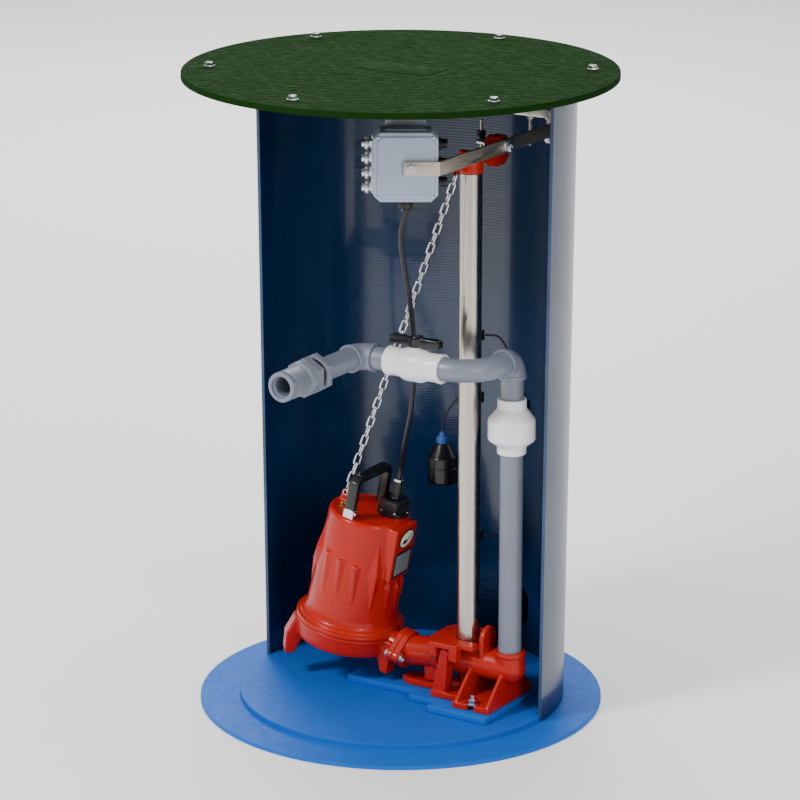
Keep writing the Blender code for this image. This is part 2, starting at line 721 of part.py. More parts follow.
def make_bulkhead():
    """The outlet through the basin wall: nut and gasket inside, hexagonal body and threaded end outside."""
    look = grey_pvc()
    centre, turn = (OUTLET_X, 0, LINE_Z), (90, 0, 0)
    nut_near, nut_far = 0.2570, 0.2720
    seat, body_end, end = 0.2840, 0.3270, -OUTLET_END_Y
    steps = 18
    thread, clearance = 0.0250, 0.0004
    nut = prism("bulkhead_nut", hexagon(0.0635), nut_near, nut_far, look)
    cut(nut, rod("bore", thread + clearance, 0.2, 0.3, look, steps))
    place(nut, centre, turn)
    rubber = black_rubber()
    gasket = ring("bulkhead_gasket", thread + clearance, 0.0295, nut_far + GAP, seat - GAP, rubber, steps)
    place(gasket, centre, turn)
    outline = [
        (SOCKET_BORE, 0.2505), (thread, 0.2505), (thread, seat), (0.0315, seat), (0.0315, body_end),
        (thread, body_end + 0.002), (thread, 0.351), (0.0268, 0.353), (0.0268, end - 0.0015), (0.0252, end),
        (PIPE_BORE, end), (PIPE_BORE, 0.2783), (SOCKET_BORE, 0.2783),
    ]
    fitting = turned("bulkhead_fitting", outline, look, steps)
    hexed = prism("hex", hexagon(0.0635), seat + 0.0005, 0.3015, look)
    cut(hexed, rod("bore", 0.0275, 0.2, 0.4, look, 14))
    place(fuse(fitting, hexed), centre, turn)


# ---------------------------------------------------------------- pump


def make_motor_housing():
    look = red_iron()
    outer = [
        (0.1025, -0.012), (0.1025, -0.004), (0.0995, 0.0), (0.0925, 0.002), (0.0885, 0.008), (0.0865, 0.014),
        (0.0735, 0.196), (0.0715, 0.206), (0.0675, 0.2125), (0.062, HOUSING_TOP),
    ]
    inner = [
        (0, HOUSING_TOP), (0, 0.196), (0.0203, 0.196), (0.0203, 0.168), (0.0575, 0.168), (0.0575, -0.012),
    ]
    housing = turned("motor_housing", outer + inner, look, 24)
    pad = place(block("pad", (0.05, -0.037, 0.104), (PAD_FACE, 0.037, 0.2095), look), turn=(0, 0, PAD_TURN))
    boss = place(rod("gland_boss", 0.0315, 0.175, HOUSING_TOP - 0.0005, look), (GLAND_X, GLAND_Y, 0))
    lug_top = arc((-0.0535, 0.2305), 0.0075, 0, 180, 8)
    lug_line = [(-0.070, 0.2), (-0.040, 0.2), (-0.046, 0.225), *lug_top, (-0.066, 0.21)]
    lug = prism("lug", lug_line, -0.0045, 0.0045, look, "Y")
    rib_line = [(0.06, 0.03), (0.0895, 0.03), (0.0822, 0.125), (0.07, 0.145)]
    ribs = []
    for angle in range(-150, 180, 60):
        rib = prism("rib", rib_line, -0.0035, 0.0035, look, "Y")
        ribs.append(place(rib, turn=(0, 0, angle)))
    fuse(housing, pad, boss, lug, *ribs)
    eye = place(rod("lug_eye", 0.0042, -0.02, 0.02, look, 12), (-0.0535, 0, 0.2305), (90, 0, 0))
    cut(housing, eye, rod("cavity", 0.0545, 0.0, 0.1695, look), rod("pocket", 0.0206, 0.16, 0.196, look, 16))
    return housing


def make_volute():
    look = red_iron()
    outline = [
        (0.0275, -0.048), (0.0975, -0.048), (0.1010, -0.045), (0.1025, -0.0123), (0.052, -0.0123),
        (0.052, -0.040), (0.0275, -0.040),
    ]
    volute = turned("volute", outline, look, 24)
    neck = place(rod("neck", 0.0245, 0.1040, DISCHARGE_FACE - 0.002, look), (0, 0, DISCHARGE_Z), (0, 90, 0))
    flange = prism("flange", flange_outline(), DISCHARGE_FACE - 0.0115, DISCHARGE_FACE, look, "X")
    throat_line = [(0.088, -0.046), (0.1165, -0.036), (0.1165, -0.0127), (0.088, -0.0127)]
    throat = prism("throat", throat_line, -0.03, 0.03, look, "Y")
    leg_line = [
        (0.082, -0.014), (0.1045, -0.014), (0.117, -0.052), (0.114, -0.083), (0.098, -0.083), (0.082, -0.047),
    ]
    legs = []
    for angle in (140, 220):
        leg = prism("leg", leg_line, -0.014, 0.014, look, "Y")
        legs.append(place(leg, turn=(0, 0, angle)))
    foot_line = [(0.092, -0.02), (0.1165, -0.035), (0.1165, -0.073), (0.102, -0.073), (0.09, -0.045)]
    foot = prism("foot", foot_line, -0.036, -0.006, look, "Y")
    fuse(volute, throat, neck, *legs, foot)
    fuse(volute, flange)
    cut(volute, place(rod("bore", BORE, 0.045, 0.15, look, 24), (0, 0, DISCHARGE_Z), (0, 90, 0)))
    return volute


def flange_outline():
    """Round top and bottom with an ear for a bolt on each side, across the discharge."""
    centre = (0, DISCHARGE_Z)
    ear = 0.0115
    reach = 0.0385
    outline = arc(centre, 0.0365, 62, 118, 6)
    outline += arc((-reach, DISCHARGE_Z - 0.004), ear, 120, 240, 6)
    outline += arc(centre, 0.0365, 242, 298, 6)
    outline += arc((reach, DISCHARGE_Z - 0.004), ear, -60, 60, 6)
    return outline


def make_cutter_plate():
    return ring("cutter_plate", 0.0262, 0.076, -0.0513, -0.048 - GAP, steel(), 24)


def make_lift_handle():
    """A square strap handle standing over the motor housing."""
    look = black_plastic()
    near, far, top, foot = -0.068, 0.054, 0.297, HOUSING_TOP + GAP
    thick, chamfer = 0.0125, 0.011
    inside, inner_chamfer = top - thick, 0.004
    outline = [
        (near, foot), (near, top - chamfer), (near + chamfer, top),
        (far - chamfer, top), (far, top - chamfer), (far, foot),
        (far - thick, foot), (far - thick, inside - inner_chamfer), (far - thick - inner_chamfer, inside),
        (near + thick + inner_chamfer, inside), (near + thick, inside - inner_chamfer), (near + thick, foot),
    ]
    return bevel(prism("lift_handle", outline, -0.0135, 0.0065, look, "X"), 0.0012)


def make_cord_gland():
    look = black_plastic()
    bottom = HOUSING_TOP + GAP
    hole = CORD_RADIUS + 0.0004
    rise = [
        (hole, 0), (0.0285, 0), (0.0285, 0.0065), (0.020, 0.0065), (0.020, 0.03),
        (0.0098, 0.031), (0.0098, 0.0665), (hole, 0.0665),
    ]
    gland = turned("cord_gland", [(radius, bottom + z) for radius, z in rise], look, 16)
    hexed = prism("hex", hexagon(0.047, 10), bottom + 0.006, bottom + 0.0285, look)
    cut(hexed, rod("bore", 0.015, 0, 1, look, 12))
    fuse(gland, hexed)
    return place(gland, (GLAND_X, GLAND_Y, 0))


def make_nameplate():
    plate = block("nameplate", (PAD_FACE + GAP, -0.031, 0.110), (PAD_FACE + 0.0012, 0.031, 0.161), steel())
    return place(plate, turn=(0, 0, PAD_TURN))


def make_motor_inside():
    stator = ring("motor_stator", 0.0325, 0.0530, 0.045, 0.135, dark_steel(), 24)
    lower = ring("lower_bearing", SHAFT_RADIUS + GAP, 0.0200, 0.001, 0.0125, steel(), 16)
    upper = ring("upper_bearing", SHAFT_RADIUS + GAP, 0.0200, 0.1755, 0.1875, steel(), 16)
    seal = ring("shaft_seal", SHAFT_RADIUS + GAP, 0.0560, -0.012, 0.0, black_rubber(), 24)
    return stator, lower, upper, seal


def make_rotor():
    """Shaft, rotor core, impeller and cutter, all turning together."""
    shaft = rod("motor_shaft", SHAFT_RADIUS, -0.046, 0.192, steel(), 16)
    core = ring("rotor_core", SHAFT_RADIUS + GAP, 0.0312, 0.05, 0.13, dark_steel(), 20)
    bore = SHAFT_RADIUS + GAP
    impeller = turned("impeller", [
        (bore, -0.036), (0.0165, -0.036), (0.0185, -0.0205),
        (0.047, -0.0195), (0.047, -0.0155), (bore, -0.0155),
    ], steel(), 24)
    vanes = []
    for i in range(6):
        vane = block("vane", (0.017, -0.0018, -0.036), (0.046, 0.0018, -0.018), steel())
        vanes.append(place(vane, turn=(0, 0, 60 * i)))
    fuse(impeller, *vanes)
    cutter = rod("grinder_cutter", 0.013, -0.0515, -0.0463, steel(), 16)
    teeth = []
    for i in range(3):
        tooth = block("tooth", (-0.0245, -0.003, -0.0512), (0.0245, 0.003, -0.0466), steel())
        teeth.append(place(tooth, turn=(0, 0, 60 * i)))
    fuse(cutter, *teeth)
    return shaft, core, impeller, cutter


def lean(point):
    """From the pump's own frame to the station's."""
    return PUMP_AT + Matrix.Rotation(PUMP_LEAN, 3, "Y") @ Vector(point)


def make_slide_bracket():
    """Adapter from the pump to the elbow, with hooks over the claws and a fork round the rail."""
    look = red_iron()
    plate = prism("slide_bracket", flange_outline(), DISCHARGE_FACE + GAP, DISCHARGE_FACE + 0.0128, look, "X")
    plate.data.transform(Matrix.Translation(PUMP_AT) @ Matrix.Rotation(PUMP_LEAN, 4, "Y"))
    plate.data.update()
    start = lean((DISCHARGE_FACE + 0.012, 0, DISCHARGE_Z))
    stop = Vector((FACE_X, 0, BARREL_Z))
    reach = stop - start
    tilt = 90 - math.degrees(math.atan2(reach.z, reach.x))
    neck = place(rod("neck", 0.0285, 0, reach.length - 0.006, look), start, (0, tilt, 0))
    face = place(rod("face", 0.0335, -0.0135, 0, look), stop, (0, 90, 0))
    under, over = 0.1320, 0.1425
    near_side = [(0.0835, -0.03), (0.099, -0.0575), (0.156, -0.0575), (0.16, -0.043), (0.183, -0.043)]
    top = prism("top", near_side + [(x, -y) for x, y in reversed(near_side)], under, over, look)
    solids = [neck, face, top]
    for side in (-1, 1):
        near, far = sorted((0.0375 * side, 0.0575 * side))
        hook = [
            (0.0965, 0.1135), (0.1125, 0.1135), (0.1125, 0.1325), (0.1400, 0.1325),
            (0.1400, 0.1105), (0.156, 0.1105), (0.156, 0.136), (0.0965, 0.136),
        ]
        solids.append(prism("hook", hook, near, far, look, "Y"))
    cheek = [(0.078, 0.108), (0.0995, 0.108), (0.0995, 0.136), (0.089, 0.136)]
    solids.append(prism("cheek", cheek, -0.0425, 0.0425, look, "Y"))
    nub = [(0.062, 0.085), (0.063, 0.054), (0.07, 0.047), (0.082, 0.047), (0.088, 0.054), (0.0905, 0.08)]
    solids.append(prism("nub", nub, -0.017, 0.017, look, "Y"))
    fuse(plate, *solids)
    slot_half = PIPE_RADIUS + 0.0019
    slot = block("slot", (RAIL_X, -slot_half, 0.1), (0.2, slot_half, 0.2), look)
    slot_end = place(rod("slot_end", slot_half, 0.1, 0.2, look), (RAIL_X, 0, 0))
    # The adapter's underside clears the elbow's barrel beyond the sealing face.
    saddle = block("saddle", (FACE_X, -0.0372, 0.05), (0.19, 0.0372, under), look)
    bore = place(rod("bore", BORE, -0.03, reach.length + 0.01, look, 16), start, (0, tilt, 0))
    cut(plate, slot, slot_end, saddle, bore)
    return plate


def make_pump():
    frame = frame_at("pump_frame", PUMP_AT, (0, PUMP_LEAN, 0))
    housing = make_motor_housing()
    volute = make_volute()
    pieces = [housing, volute, make_cutter_plate(), make_lift_handle(), make_cord_gland(), make_nameplate()]
    pieces += make_motor_inside()
    attach(frame, *pieces)
    shaft_frame = frame_at("shaft_axis", (0, 0, 0))
    shaft_frame.parent = frame
    attach(shaft_frame, *make_rotor())
    make_slide_bracket()


# ---------------------------------------------------------------- floats, chain and cords


def make_float_rod():
    """A thin rod behind the rail, with a clamp for each float's cord and one that ties it at the top."""
    stem = place(rod("float_rod", ROD_RADIUS, 0.11, ROD_TOP, stainless(), 12), (*ROD_AT, 0))
    for height in (*CLAMP_HEIGHTS.values(), 1.06):
        band = rod("clamp", 0.0085, height - 0.009, height + 0.009, black_plastic(), 12)
        fuse(stem, place(band, (*ROD_AT, 0), (0, 0, 9)))


def float_route(name):
    """From the side of the clamp up and over to the top of the collar."""
    x, y = FLOAT_AT[name]
    top = FLOAT_TOPS[name] + 0.022 + GAP
    high = CLAMP_HEIGHTS[name]
    away = Vector((x - ROD_AT[0], y - ROD_AT[1], 0))
    side = away.normalized()
    root = Vector((*ROD_AT, high)) + side * (0.0085 + GAP)
    return [
        root, root + side * 0.010, root + away * 0.42 - Vector((0, 0, 0.004)),
        Vector((x, y, (high + top) / 2)) - side * 0.008, Vector((x, y, top + 0.018)), Vector((x, y, top)),
    ]


def make_float(name):
    x, y = FLOAT_AT[name]
    top = FLOAT_TOPS[name]
    hinge = frame_at("float_hinge_" + name, (*ROD_AT, CLAMP_HEIGHTS[name]))
    at = Vector((x, y, top)) - hinge.location
    body = turned("float_" + name, [
        (0, -FLOAT_HEIGHT), (FLOAT_RADIUS - 0.004, -FLOAT_HEIGHT), (FLOAT_RADIUS, -FLOAT_HEIGHT + 0.005),
        (FLOAT_RADIUS, -0.024), (0.0125, 0), (0.0105, 0.001), (0.0105, 0.012), (0.007, 0.022), (0, 0.022),
    ], black_plastic(), 16)
    attach(hinge, place(body, at))
    tube("float_cord_" + name, smooth_route(float_route(name), 0.011), 0.0018, black_rubber())


def make_chain():
    bottom = lean(CHAIN_LUG)
    along = (CHAIN_TOP - bottom).normalized()
    tube("lift_chain", smooth_route([bottom + along * 0.0095, CHAIN_TOP], 0.06), CHAIN_RADIUS, stainless())


def power_cord_route():
    """Out of the junction box's gland, behind the ball valve and down into the pump's gland."""
    box_gland = BOX_AT + Matrix.Rotation(BOX_TURN, 3, "Z") @ Vector((0, 0.036, -0.0235))
    pump_gland = lean((GLAND_X, GLAND_Y, HOUSING_TOP + GAP + 0.067))
    up = lean((0, 0, 1)) - PUMP_AT
    return [
        box_gland, (0.094, -0.139, 0.953), (0.086, -0.134, 0.930), (0.079, -0.121, 0.895),
        (0.075, -0.103, 0.845), (0.073, -0.085, 0.794), (0.069, -0.070, 0.750), (0.064, -0.057, 0.703),
        (0.058, -0.046, 0.657), (0.049, -0.036, 0.612), (0.038, -0.026, 0.566), (0.022, -0.014, 0.520),
        (0.003, 0.004, 0.475),
        pump_gland + up * 0.025, pump_gland,
    ]


def make_power_cord():
    tube("power_cord", smooth_route(power_cord_route(), 0.024), CORD_RADIUS, black_rubber())


# ---------------------------------------------------------------- the station


def main():
    clear_scene()
    make_base_flange()
    make_mounting_pad()
    make_basin()
    make_cover()
    make_base_elbow()
    make_guide_rail()
    make_upper_bracket()
    make_brace_strap()
    make_wall_bracket()
    make_bracket_stud()
    make_junction_box()
    make_riser_pipe()
    make_check_valve()
    make_discharge_line()
    make_ball_valve()
    make_bulkhead()
    make_pump()
    make_float_rod()
    for name in CLAMP_HEIGHTS:
        make_float(name)
    make_chain()
    make_power_cord()


main()
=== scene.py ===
"""Looks for the grinder-pump station: fine surfaces, castings, threads, chain, cords and materials."""

import math

import bmesh
import bpy
from mathutils import Matrix, Vector


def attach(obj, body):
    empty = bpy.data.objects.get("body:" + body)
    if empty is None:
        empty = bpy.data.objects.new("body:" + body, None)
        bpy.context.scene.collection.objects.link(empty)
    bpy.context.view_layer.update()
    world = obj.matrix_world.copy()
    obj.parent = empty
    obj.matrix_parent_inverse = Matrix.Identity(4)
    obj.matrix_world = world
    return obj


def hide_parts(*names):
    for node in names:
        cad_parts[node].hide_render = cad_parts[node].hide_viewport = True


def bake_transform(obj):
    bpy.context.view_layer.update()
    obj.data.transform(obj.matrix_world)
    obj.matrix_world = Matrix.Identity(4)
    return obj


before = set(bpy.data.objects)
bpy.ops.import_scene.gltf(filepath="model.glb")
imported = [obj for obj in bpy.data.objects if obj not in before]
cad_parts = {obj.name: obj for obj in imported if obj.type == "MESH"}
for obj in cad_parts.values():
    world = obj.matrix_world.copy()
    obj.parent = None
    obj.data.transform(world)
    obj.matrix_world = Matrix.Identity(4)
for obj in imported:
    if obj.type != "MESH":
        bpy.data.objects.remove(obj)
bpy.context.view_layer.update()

# ---------------------------------------------------------------- sizes the CAD has too, in metres

FLANGE_RADIUS = 0.376
FLANGE_THICK = 0.0074
FLOOR_TOP = 0.0184
FLOOR_RADIUS = 0.302
WALL = 0.00635
WALL_OUTER_BOTTOM = 0.3055
WALL_OUTER_TOP = 0.3168
FOOT_BAND = 0.052
RIM_RADIUS = 0.366
RIM_THICK = 0.008
COVER_RADIUS = 0.393
COVER_THICK = 0.0135
STATION_HEIGHT = 1.194
COVER_UNDER = STATION_HEIGHT - COVER_THICK
COVER_FACE = STATION_HEIGHT - 0.0016
COVER_BOLT_CIRCLE = 0.343
GAP = 0.0003

PAD_TOP = 0.0315
PLATE_UNDER = PAD_TOP + GAP
PLATE_TOP = 0.0435
BARREL_Z = 0.1005
BARREL_RADIUS = 0.0285
FACE_X = 0.1003
BORE = 0.0165

PIPE_RADIUS = 0.0211
PIPE_BORE = 0.0175
RISER_X = 0.2375
RAIL_X = 0.148
RAIL_BOTTOM = 0.140
RAIL_TOP = 1.021

LINE_Z = 0.6885
LINE_Y = -0.121
OUTLET_X = -0.0105
OUTLET_END_Y = -0.373
SWEEP_RADIUS = 0.07
VALVE_X = 0.1095
VALVE_HALF = 0.0575
SOCKET_DEPTH = 0.0205
SOCKET_BORE = PIPE_RADIUS + 0.0005
CHECK_BOTTOM = 0.5135
CHECK_TOP = 0.6165

PUMP_AT = Vector((-0.111, 0.0, 0.1415))
PUMP_LEAN = math.radians(11.0)
HOUSING_TOP = 0.215
DISCHARGE_Z = -0.0235
DISCHARGE_FACE = 0.1278
PAD_TURN = 3
PAD_FACE = 0.0858
DISCHARGE_BOLT_Y = 0.0385
DISCHARGE_BOLT_Z = DISCHARGE_Z - 0.004
GLAND_X = 0.0365
GLAND_Y = 0.027

BOX_AT = Vector((0.119, -0.1705, 0.995))
BOX_TURN = math.atan2(0.537, 0.843)
BOX_WIDTH = 0.1135
BOX_HEIGHT = 0.124
BOX_DEPTH = 0.062
LID_DEPTH = 0.016
BOX_GLAND_Y = 0.036

STRAP_X = 0.1675
STRAP_THICK = 0.005
STRAP_Z = 1.0565
STRAP_BACK_Y = 0.250
STUD_Y = 0.087

ROD_AT = (0.095, 0.123)
ROD_TOP = 1.090
CLAMP_HEIGHTS = {"low": 0.298, "high": 0.566, "alarm": 0.685}
FLOAT_AT = {"low": (0.155, 0.150), "high": (0.022, 0.112), "alarm": (0.155, 0.150)}
FLOAT_TOPS = {"low": 0.205, "high": 0.468, "alarm": 0.585}
FLOAT_RADIUS = 0.0285
FLOAT_HEIGHT = 0.077

CHAIN_EYE = Vector((0.1185, 0.0, 1.0155))
CHAIN_LUG = Vector((-0.0535, 0.0, 0.2315))
LUG_X, LUG_Z = -0.0535, 0.2305
CORD_RADIUS = 0.0047
FLOAT_CORD_RADIUS = 0.0018

PUMP_FRAME = Matrix.Translation(PUMP_AT) @ Matrix.Rotation(PUMP_LEAN, 4, "Y")
BOX_FRAME = Matrix.Translation(BOX_AT) @ Matrix.Rotation(BOX_TURN, 4, "Z")
FORWARD, RIGHTWARD = (90, 0, 0), (0, 90, 0)


def lean(point):
    """From the pump's own frame to the station's."""
    return PUMP_FRAME @ Vector(point)


# ---------------------------------------------------------------- materials


def linear(*srgb):
    """A colour from 0-255 screen values."""
    parts = [value / 255 for value in srgb]
    return [p / 12.92 if p <= 0.04045 else ((p + 0.055) / 1.055) ** 2.4 for p in parts]


def shader_base(name, roughness, metallic=0.0, **sockets):
    made = bpy.data.materials.new(name)
    made.use_nodes = True
    shader = made.node_tree.nodes["Principled BSDF"]
    shader.inputs["Roughness"].default_value = roughness
    shader.inputs["Metallic"].default_value = metallic
    for key, value in sockets.items():
        shader.inputs[key.replace("_", " ")].default_value = value
    return made, made.node_tree, shader


def coordinates(tree, stretch=(1, 1, 1)):
    where = tree.nodes.new("ShaderNodeTexCoord")
    scaled = tree.nodes.new("ShaderNodeMapping")
    scaled.inputs["Scale"].default_value = stretch
    tree.links.new(where.outputs["Object"], scaled.inputs["Vector"])
    return scaled.outputs["Vector"]


def noise(tree, vector, scale, detail=4.0, roughness=0.55):
    made = tree.nodes.new("ShaderNodeTexNoise")
    made.inputs["Scale"].default_value = scale
    made.inputs["Detail"].default_value = detail
    made.inputs["Roughness"].default_value = roughness
    tree.links.new(vector, made.inputs["Vector"])
    return made.outputs["Fac"]


def ramp(tree, value, low, high, start=0.35, end=0.65):
    made = tree.nodes.new("ShaderNodeValToRGB")
    made.color_ramp.elements[0].position = start
    made.color_ramp.elements[1].position = end
    made.color_ramp.elements[0].color = (*low, 1)
    made.color_ramp.elements[1].color = (*high, 1)
    tree.links.new(value, made.inputs["Fac"])
    return made.outputs["Color"]


def spread(tree, value, low, high, start=0.3, end=0.7):
    made = tree.nodes.new("ShaderNodeMapRange")
    for key, number in (("From Min", start), ("From Max", end), ("To Min", low), ("To Max", high)):
        made.inputs[key].default_value = number
    tree.links.new(value, made.inputs["Value"])
    return made.outputs["Result"]


def bumped(tree, shader, height, distance, strength=1.0):
    """Adds a bump over whatever bump the shader already has."""
    made = tree.nodes.new("ShaderNodeBump")
    made.inputs["Distance"].default_value = distance
    made.inputs["Strength"].default_value = strength
    tree.links.new(height, made.inputs["Height"])
    before = shader.inputs["Normal"].links
    if before:
        tree.links.new(before[0].from_socket, made.inputs["Normal"])
    tree.links.new(made.outputs["Normal"], shader.inputs["Normal"])


def paint_edge_highlight(tree, colour, highlight_colour, amount=0.5):
    """Mixes a lighter colour in along convex edges: a painted highlight where light catches them."""
    geometry = tree.nodes.new("ShaderNodeNewGeometry")
    # Convex edges, found by pointiness, take the lighter colour: painted highlight.
    highlight_mask = spread(tree, geometry.outputs["Pointiness"], 0.0, amount, 0.52, 0.60)
    mix = tree.nodes.new("ShaderNodeMix")
    mix.data_type = "RGBA"
    tree.links.new(highlight_mask, mix.inputs["Factor"])
    tree.links.new(colour, mix.inputs["A"])
    mix.inputs["B"].default_value = (*highlight_colour, 1)
    return mix.outputs["Result"]


def moulded(name, colour, roughness, grain=900, depth=0.00006, vary=0.12, edge_highlight=None, **sockets):
    """Paint, plastic or rubber: a little uneven in colour and gloss, with a fine grain."""
    made, tree, shader = shader_base(name, roughness, **sockets)
    where = coordinates(tree)
    patchy = noise(tree, where, 14)
    tone = ramp(tree, patchy, [c * (1 - vary) for c in colour], [min(1, c * (1 + vary)) for c in colour])
    # The lighter colour for convex edges, when given, is a painted highlight.
    if edge_highlight:
        tone = paint_edge_highlight(tree, tone, edge_highlight)
    tree.links.new(tone, shader.inputs["Base Color"])
    gloss = noise(tree, where, 60, 6)
    tree.links.new(spread(tree, gloss, roughness * 0.85, min(1, roughness * 1.2)), shader.inputs["Roughness"])
    bumped(tree, shader, noise(tree, where, grain, 3), depth)
    return made


def enamel():
    """Glossy red enamel that softens a cast surface."""
    # The lighter red along its convex edges is a painted highlight.
    made = moulded(
        "red_enamel", linear(178, 26, 6), 0.3, grain=420, depth=0.00003, vary=0.05,
        edge_highlight=linear(224, 66, 30), Coat_Weight=0.18, Coat_Roughness=0.08, Specular_IOR_Level=0.22,
    )
    tree = made.node_tree
    shader = tree.nodes["Principled BSDF"]
    bumped(tree, shader, noise(tree, coordinates(tree), 60, 2), 0.00015)
    return made


def metal(name, colour, roughness, stretch=(1, 1, 1), scale=700, depth=0.00003, vary=0.1):
    """Brushed or plated metal: its grain runs along the axis that stretch squeezes."""
    made, tree, shader = shader_base(name, roughness, 1.0)
    where = coordinates(tree, stretch)
    grain = noise(tree, where, scale, 5)
    tone = ramp(tree, grain, [c * (1 - vary) for c in colour], colour)
    tree.links.new(tone, shader.inputs["Base Color"])
    tree.links.new(spread(tree, grain, roughness * 0.7, roughness * 1.35), shader.inputs["Roughness"])
    bumped(tree, shader, grain, depth)
    return made


def gelcoat(name, light):
    """Navy gelcoat over filament winding, which leaves fine level ridges and slow ripples."""
    made, tree, shader = shader_base(name, 0.16, Coat_Weight=0.4, Coat_Roughness=0.06)
    where = coordinates(tree)
    ripple = noise(tree, coordinates(tree, (1, 1, 2)), 2.5, 2)
    dark = [value * 0.82 for value in light]
    tree.links.new(ramp(tree, ripple, dark, light), shader.inputs["Base Color"])
    winding = tree.nodes.new("ShaderNodeTexWave")
    winding.wave_type = "BANDS"
    winding.bands_direction = "Z"
    winding.inputs["Scale"].default_value = 58.0
    winding.inputs["Distortion"].default_value = 1.2
    winding.inputs["Detail"].default_value = 2.0
    tree.links.new(where, winding.inputs["Vector"])
    tree.links.new(spread(tree, noise(tree, where, 18, 4), 0.12, 0.2), shader.inputs["Roughness"])
    bumped(tree, shader, winding.outputs["Fac"], 0.00010)
    bumped(tree, shader, noise(tree, coordinates(tree, (1, 1, 40)), 7, 3), 0.0002)
    return made


def laminate():
    """The basin's outside: raw resin over glass, a duller grey-blue than the gelcoat."""
    made, tree, shader = shader_base("outer_laminate", 0.38, Coat_Weight=0.3, Coat_Roughness=0.15)
    where = coordinates(tree)
    patches = noise(tree, where, 3.5, 5)
    tree.links.new(ramp(tree, patches, linear(60, 70, 90), linear(78, 86, 102)), shader.inputs["Base Color"])
    bumped(tree, shader, noise(tree, where, 240, 4), 0.0002)
    bumped(tree, shader, noise(tree, coordinates(tree, (1, 1, 14)), 16, 4), 0.0006)
    return made


# A second, lighter colour given to a look for its convex edges is a painted highlight.
LOOKS = {
    "red_iron": enamel(),
    "blue_base": moulded(
        "blue_base", linear(4, 92, 186), 0.5, edge_highlight=linear(30, 118, 204), vary=0.03,
        Specular_IOR_Level=0.2,
    ),
    "inside": gelcoat("navy_gelcoat_inside", linear(2, 42, 78)),
    "outside": laminate(),
    "cut_laminate": moulded("cut_laminate", linear(48, 68, 100), 0.5, 500, 0.0002, vary=0.18),
    "foot_band": moulded("foot_band", linear(16, 34, 78), 0.35, vary=0.06),
    "green_cover": moulded(
        "green_cover", linear(16, 44, 10), 0.8, 1300, 0.00008, edge_highlight=linear(20, 54, 14), vary=0.05,
        Specular_IOR_Level=0.03,
    ),
    "stainless": metal("brushed_stainless", linear(196, 190, 182), 0.26),
    "rail_stainless": metal("drawn_stainless", linear(200, 193, 183), 0.24, (1, 1, 0.02), 900),
    "strap_steel": metal("strap_steel", linear(200, 190, 176), 0.5, (1, 0.03, 1), 700),
    "tab_steel": metal("tab_steel", linear(150, 156, 170), 0.4, vary=0.06),
    "grip_metal": metal("grip_metal", linear(228, 230, 232), 0.3, vary=0.05),
    "bright_steel": metal("plated_steel", linear(214, 214, 218), 0.2, vary=0.06),
    "laminated_steel": metal("laminated_steel", linear(110, 112, 118), 0.45, (1, 1, 14), 500),
    "brass": metal("brass_plug", linear(214, 178, 84), 0.25),
    "box_plastic": moulded(
        "box_plastic", linear(164, 174, 196), 0.46, vary=0.03, edge_highlight=linear(196, 204, 220)
    ),
    "grey_pvc": moulded(
        "grey_pvc", linear(116, 122, 136), 0.38, vary=0.05, Specular_IOR_Level=0.6
    ),
    "white_pvc": moulded(
        "white_pvc", linear(238, 238, 240), 0.3, vary=0.02, Specular_IOR_Level=0.6
    ),
    "black_rubber": moulded("black_rubber", linear(22, 22, 24), 0.55, vary=0.2),
    "black_cord": moulded("black_cord", linear(20, 21, 24), 0.36, 1500, 0.00008, vary=0.15),
    "black_plastic": moulded(
        "black_plastic", linear(14, 14, 16), 0.22, edge_highlight=linear(44, 46, 52), vary=0.15
    ),
    "float_blue": moulded("float_blue", linear(44, 84, 160), 0.4, vary=0.05),
    "plate_grey": moulded("nameplate_grey", linear(118, 120, 124), 0.4, 700, vary=0.05),
    "badge_cream": moulded("badge_cream", linear(226, 220, 200), 0.35, vary=0.04),
}

# ---------------------------------------------------------------- shapes


def link(name, data):
    """A new object in the scene that holds a mesh, a light or a camera."""
    obj = bpy.data.objects.new(name, data)
    bpy.context.scene.collection.objects.link(obj)
    return obj


def mesh_from(name, bm):
    bmesh.ops.recalc_face_normals(bm, faces=bm.faces)
    mesh = bpy.data.meshes.new(name)
    bm.to_mesh(mesh)
    bm.free()
    return link(name, mesh)


def place(obj, at=(0, 0, 0), turn=(0, 0, 0)):
    """Moves and turns the mesh itself, by Euler angles in degrees."""
    spin = Matrix.Rotation(math.radians(turn[2]), 4, "Z")
    spin @= Matrix.Rotation(math.radians(turn[1]), 4, "Y") @ Matrix.Rotation(math.radians(turn[0]), 4, "X")
    obj.data.transform(Matrix.Translation(Vector(at)) @ spin)
    return obj


def turned(name, outline, steps=72, sweep=math.tau):
    """A solid turned about Z from a closed outline of (radius, height) points."""
    bm = bmesh.new()
    verts = [bm.verts.new((r, 0, z)) for r, z in outline]
    sides = zip(verts, verts[1:] + verts[:1])
    edges = [bm.edges.new(side) for side in sides if side[0].co.x > 0 or side[1].co.x > 0]
    bmesh.ops.spin(
        bm, geom=verts + edges, cent=(0, 0, 0), axis=(0, 0, 1), dvec=(0, 0, 0),
        angle=sweep, steps=steps, use_merge=sweep == math.tau,
    )
    bmesh.ops.remove_doubles(bm, verts=bm.verts, dist=1e-6)
    rims = [edge for edge in bm.edges if edge.is_boundary]
    if rims:
        bmesh.ops.holes_fill(bm, edges=rims, sides=0)
    return mesh_from(name, bm)


def rod(name, radius, bottom, top, steps=48, edge=0.0):
    outline = [(0, bottom), (radius - edge, bottom), (radius, bottom + edge), (radius, top - edge)]
    outline += [(radius - edge, top), (0, top)]
    return turned(name, outline if edge else [(0, bottom), (radius, bottom), (radius, top), (0, top)], steps)


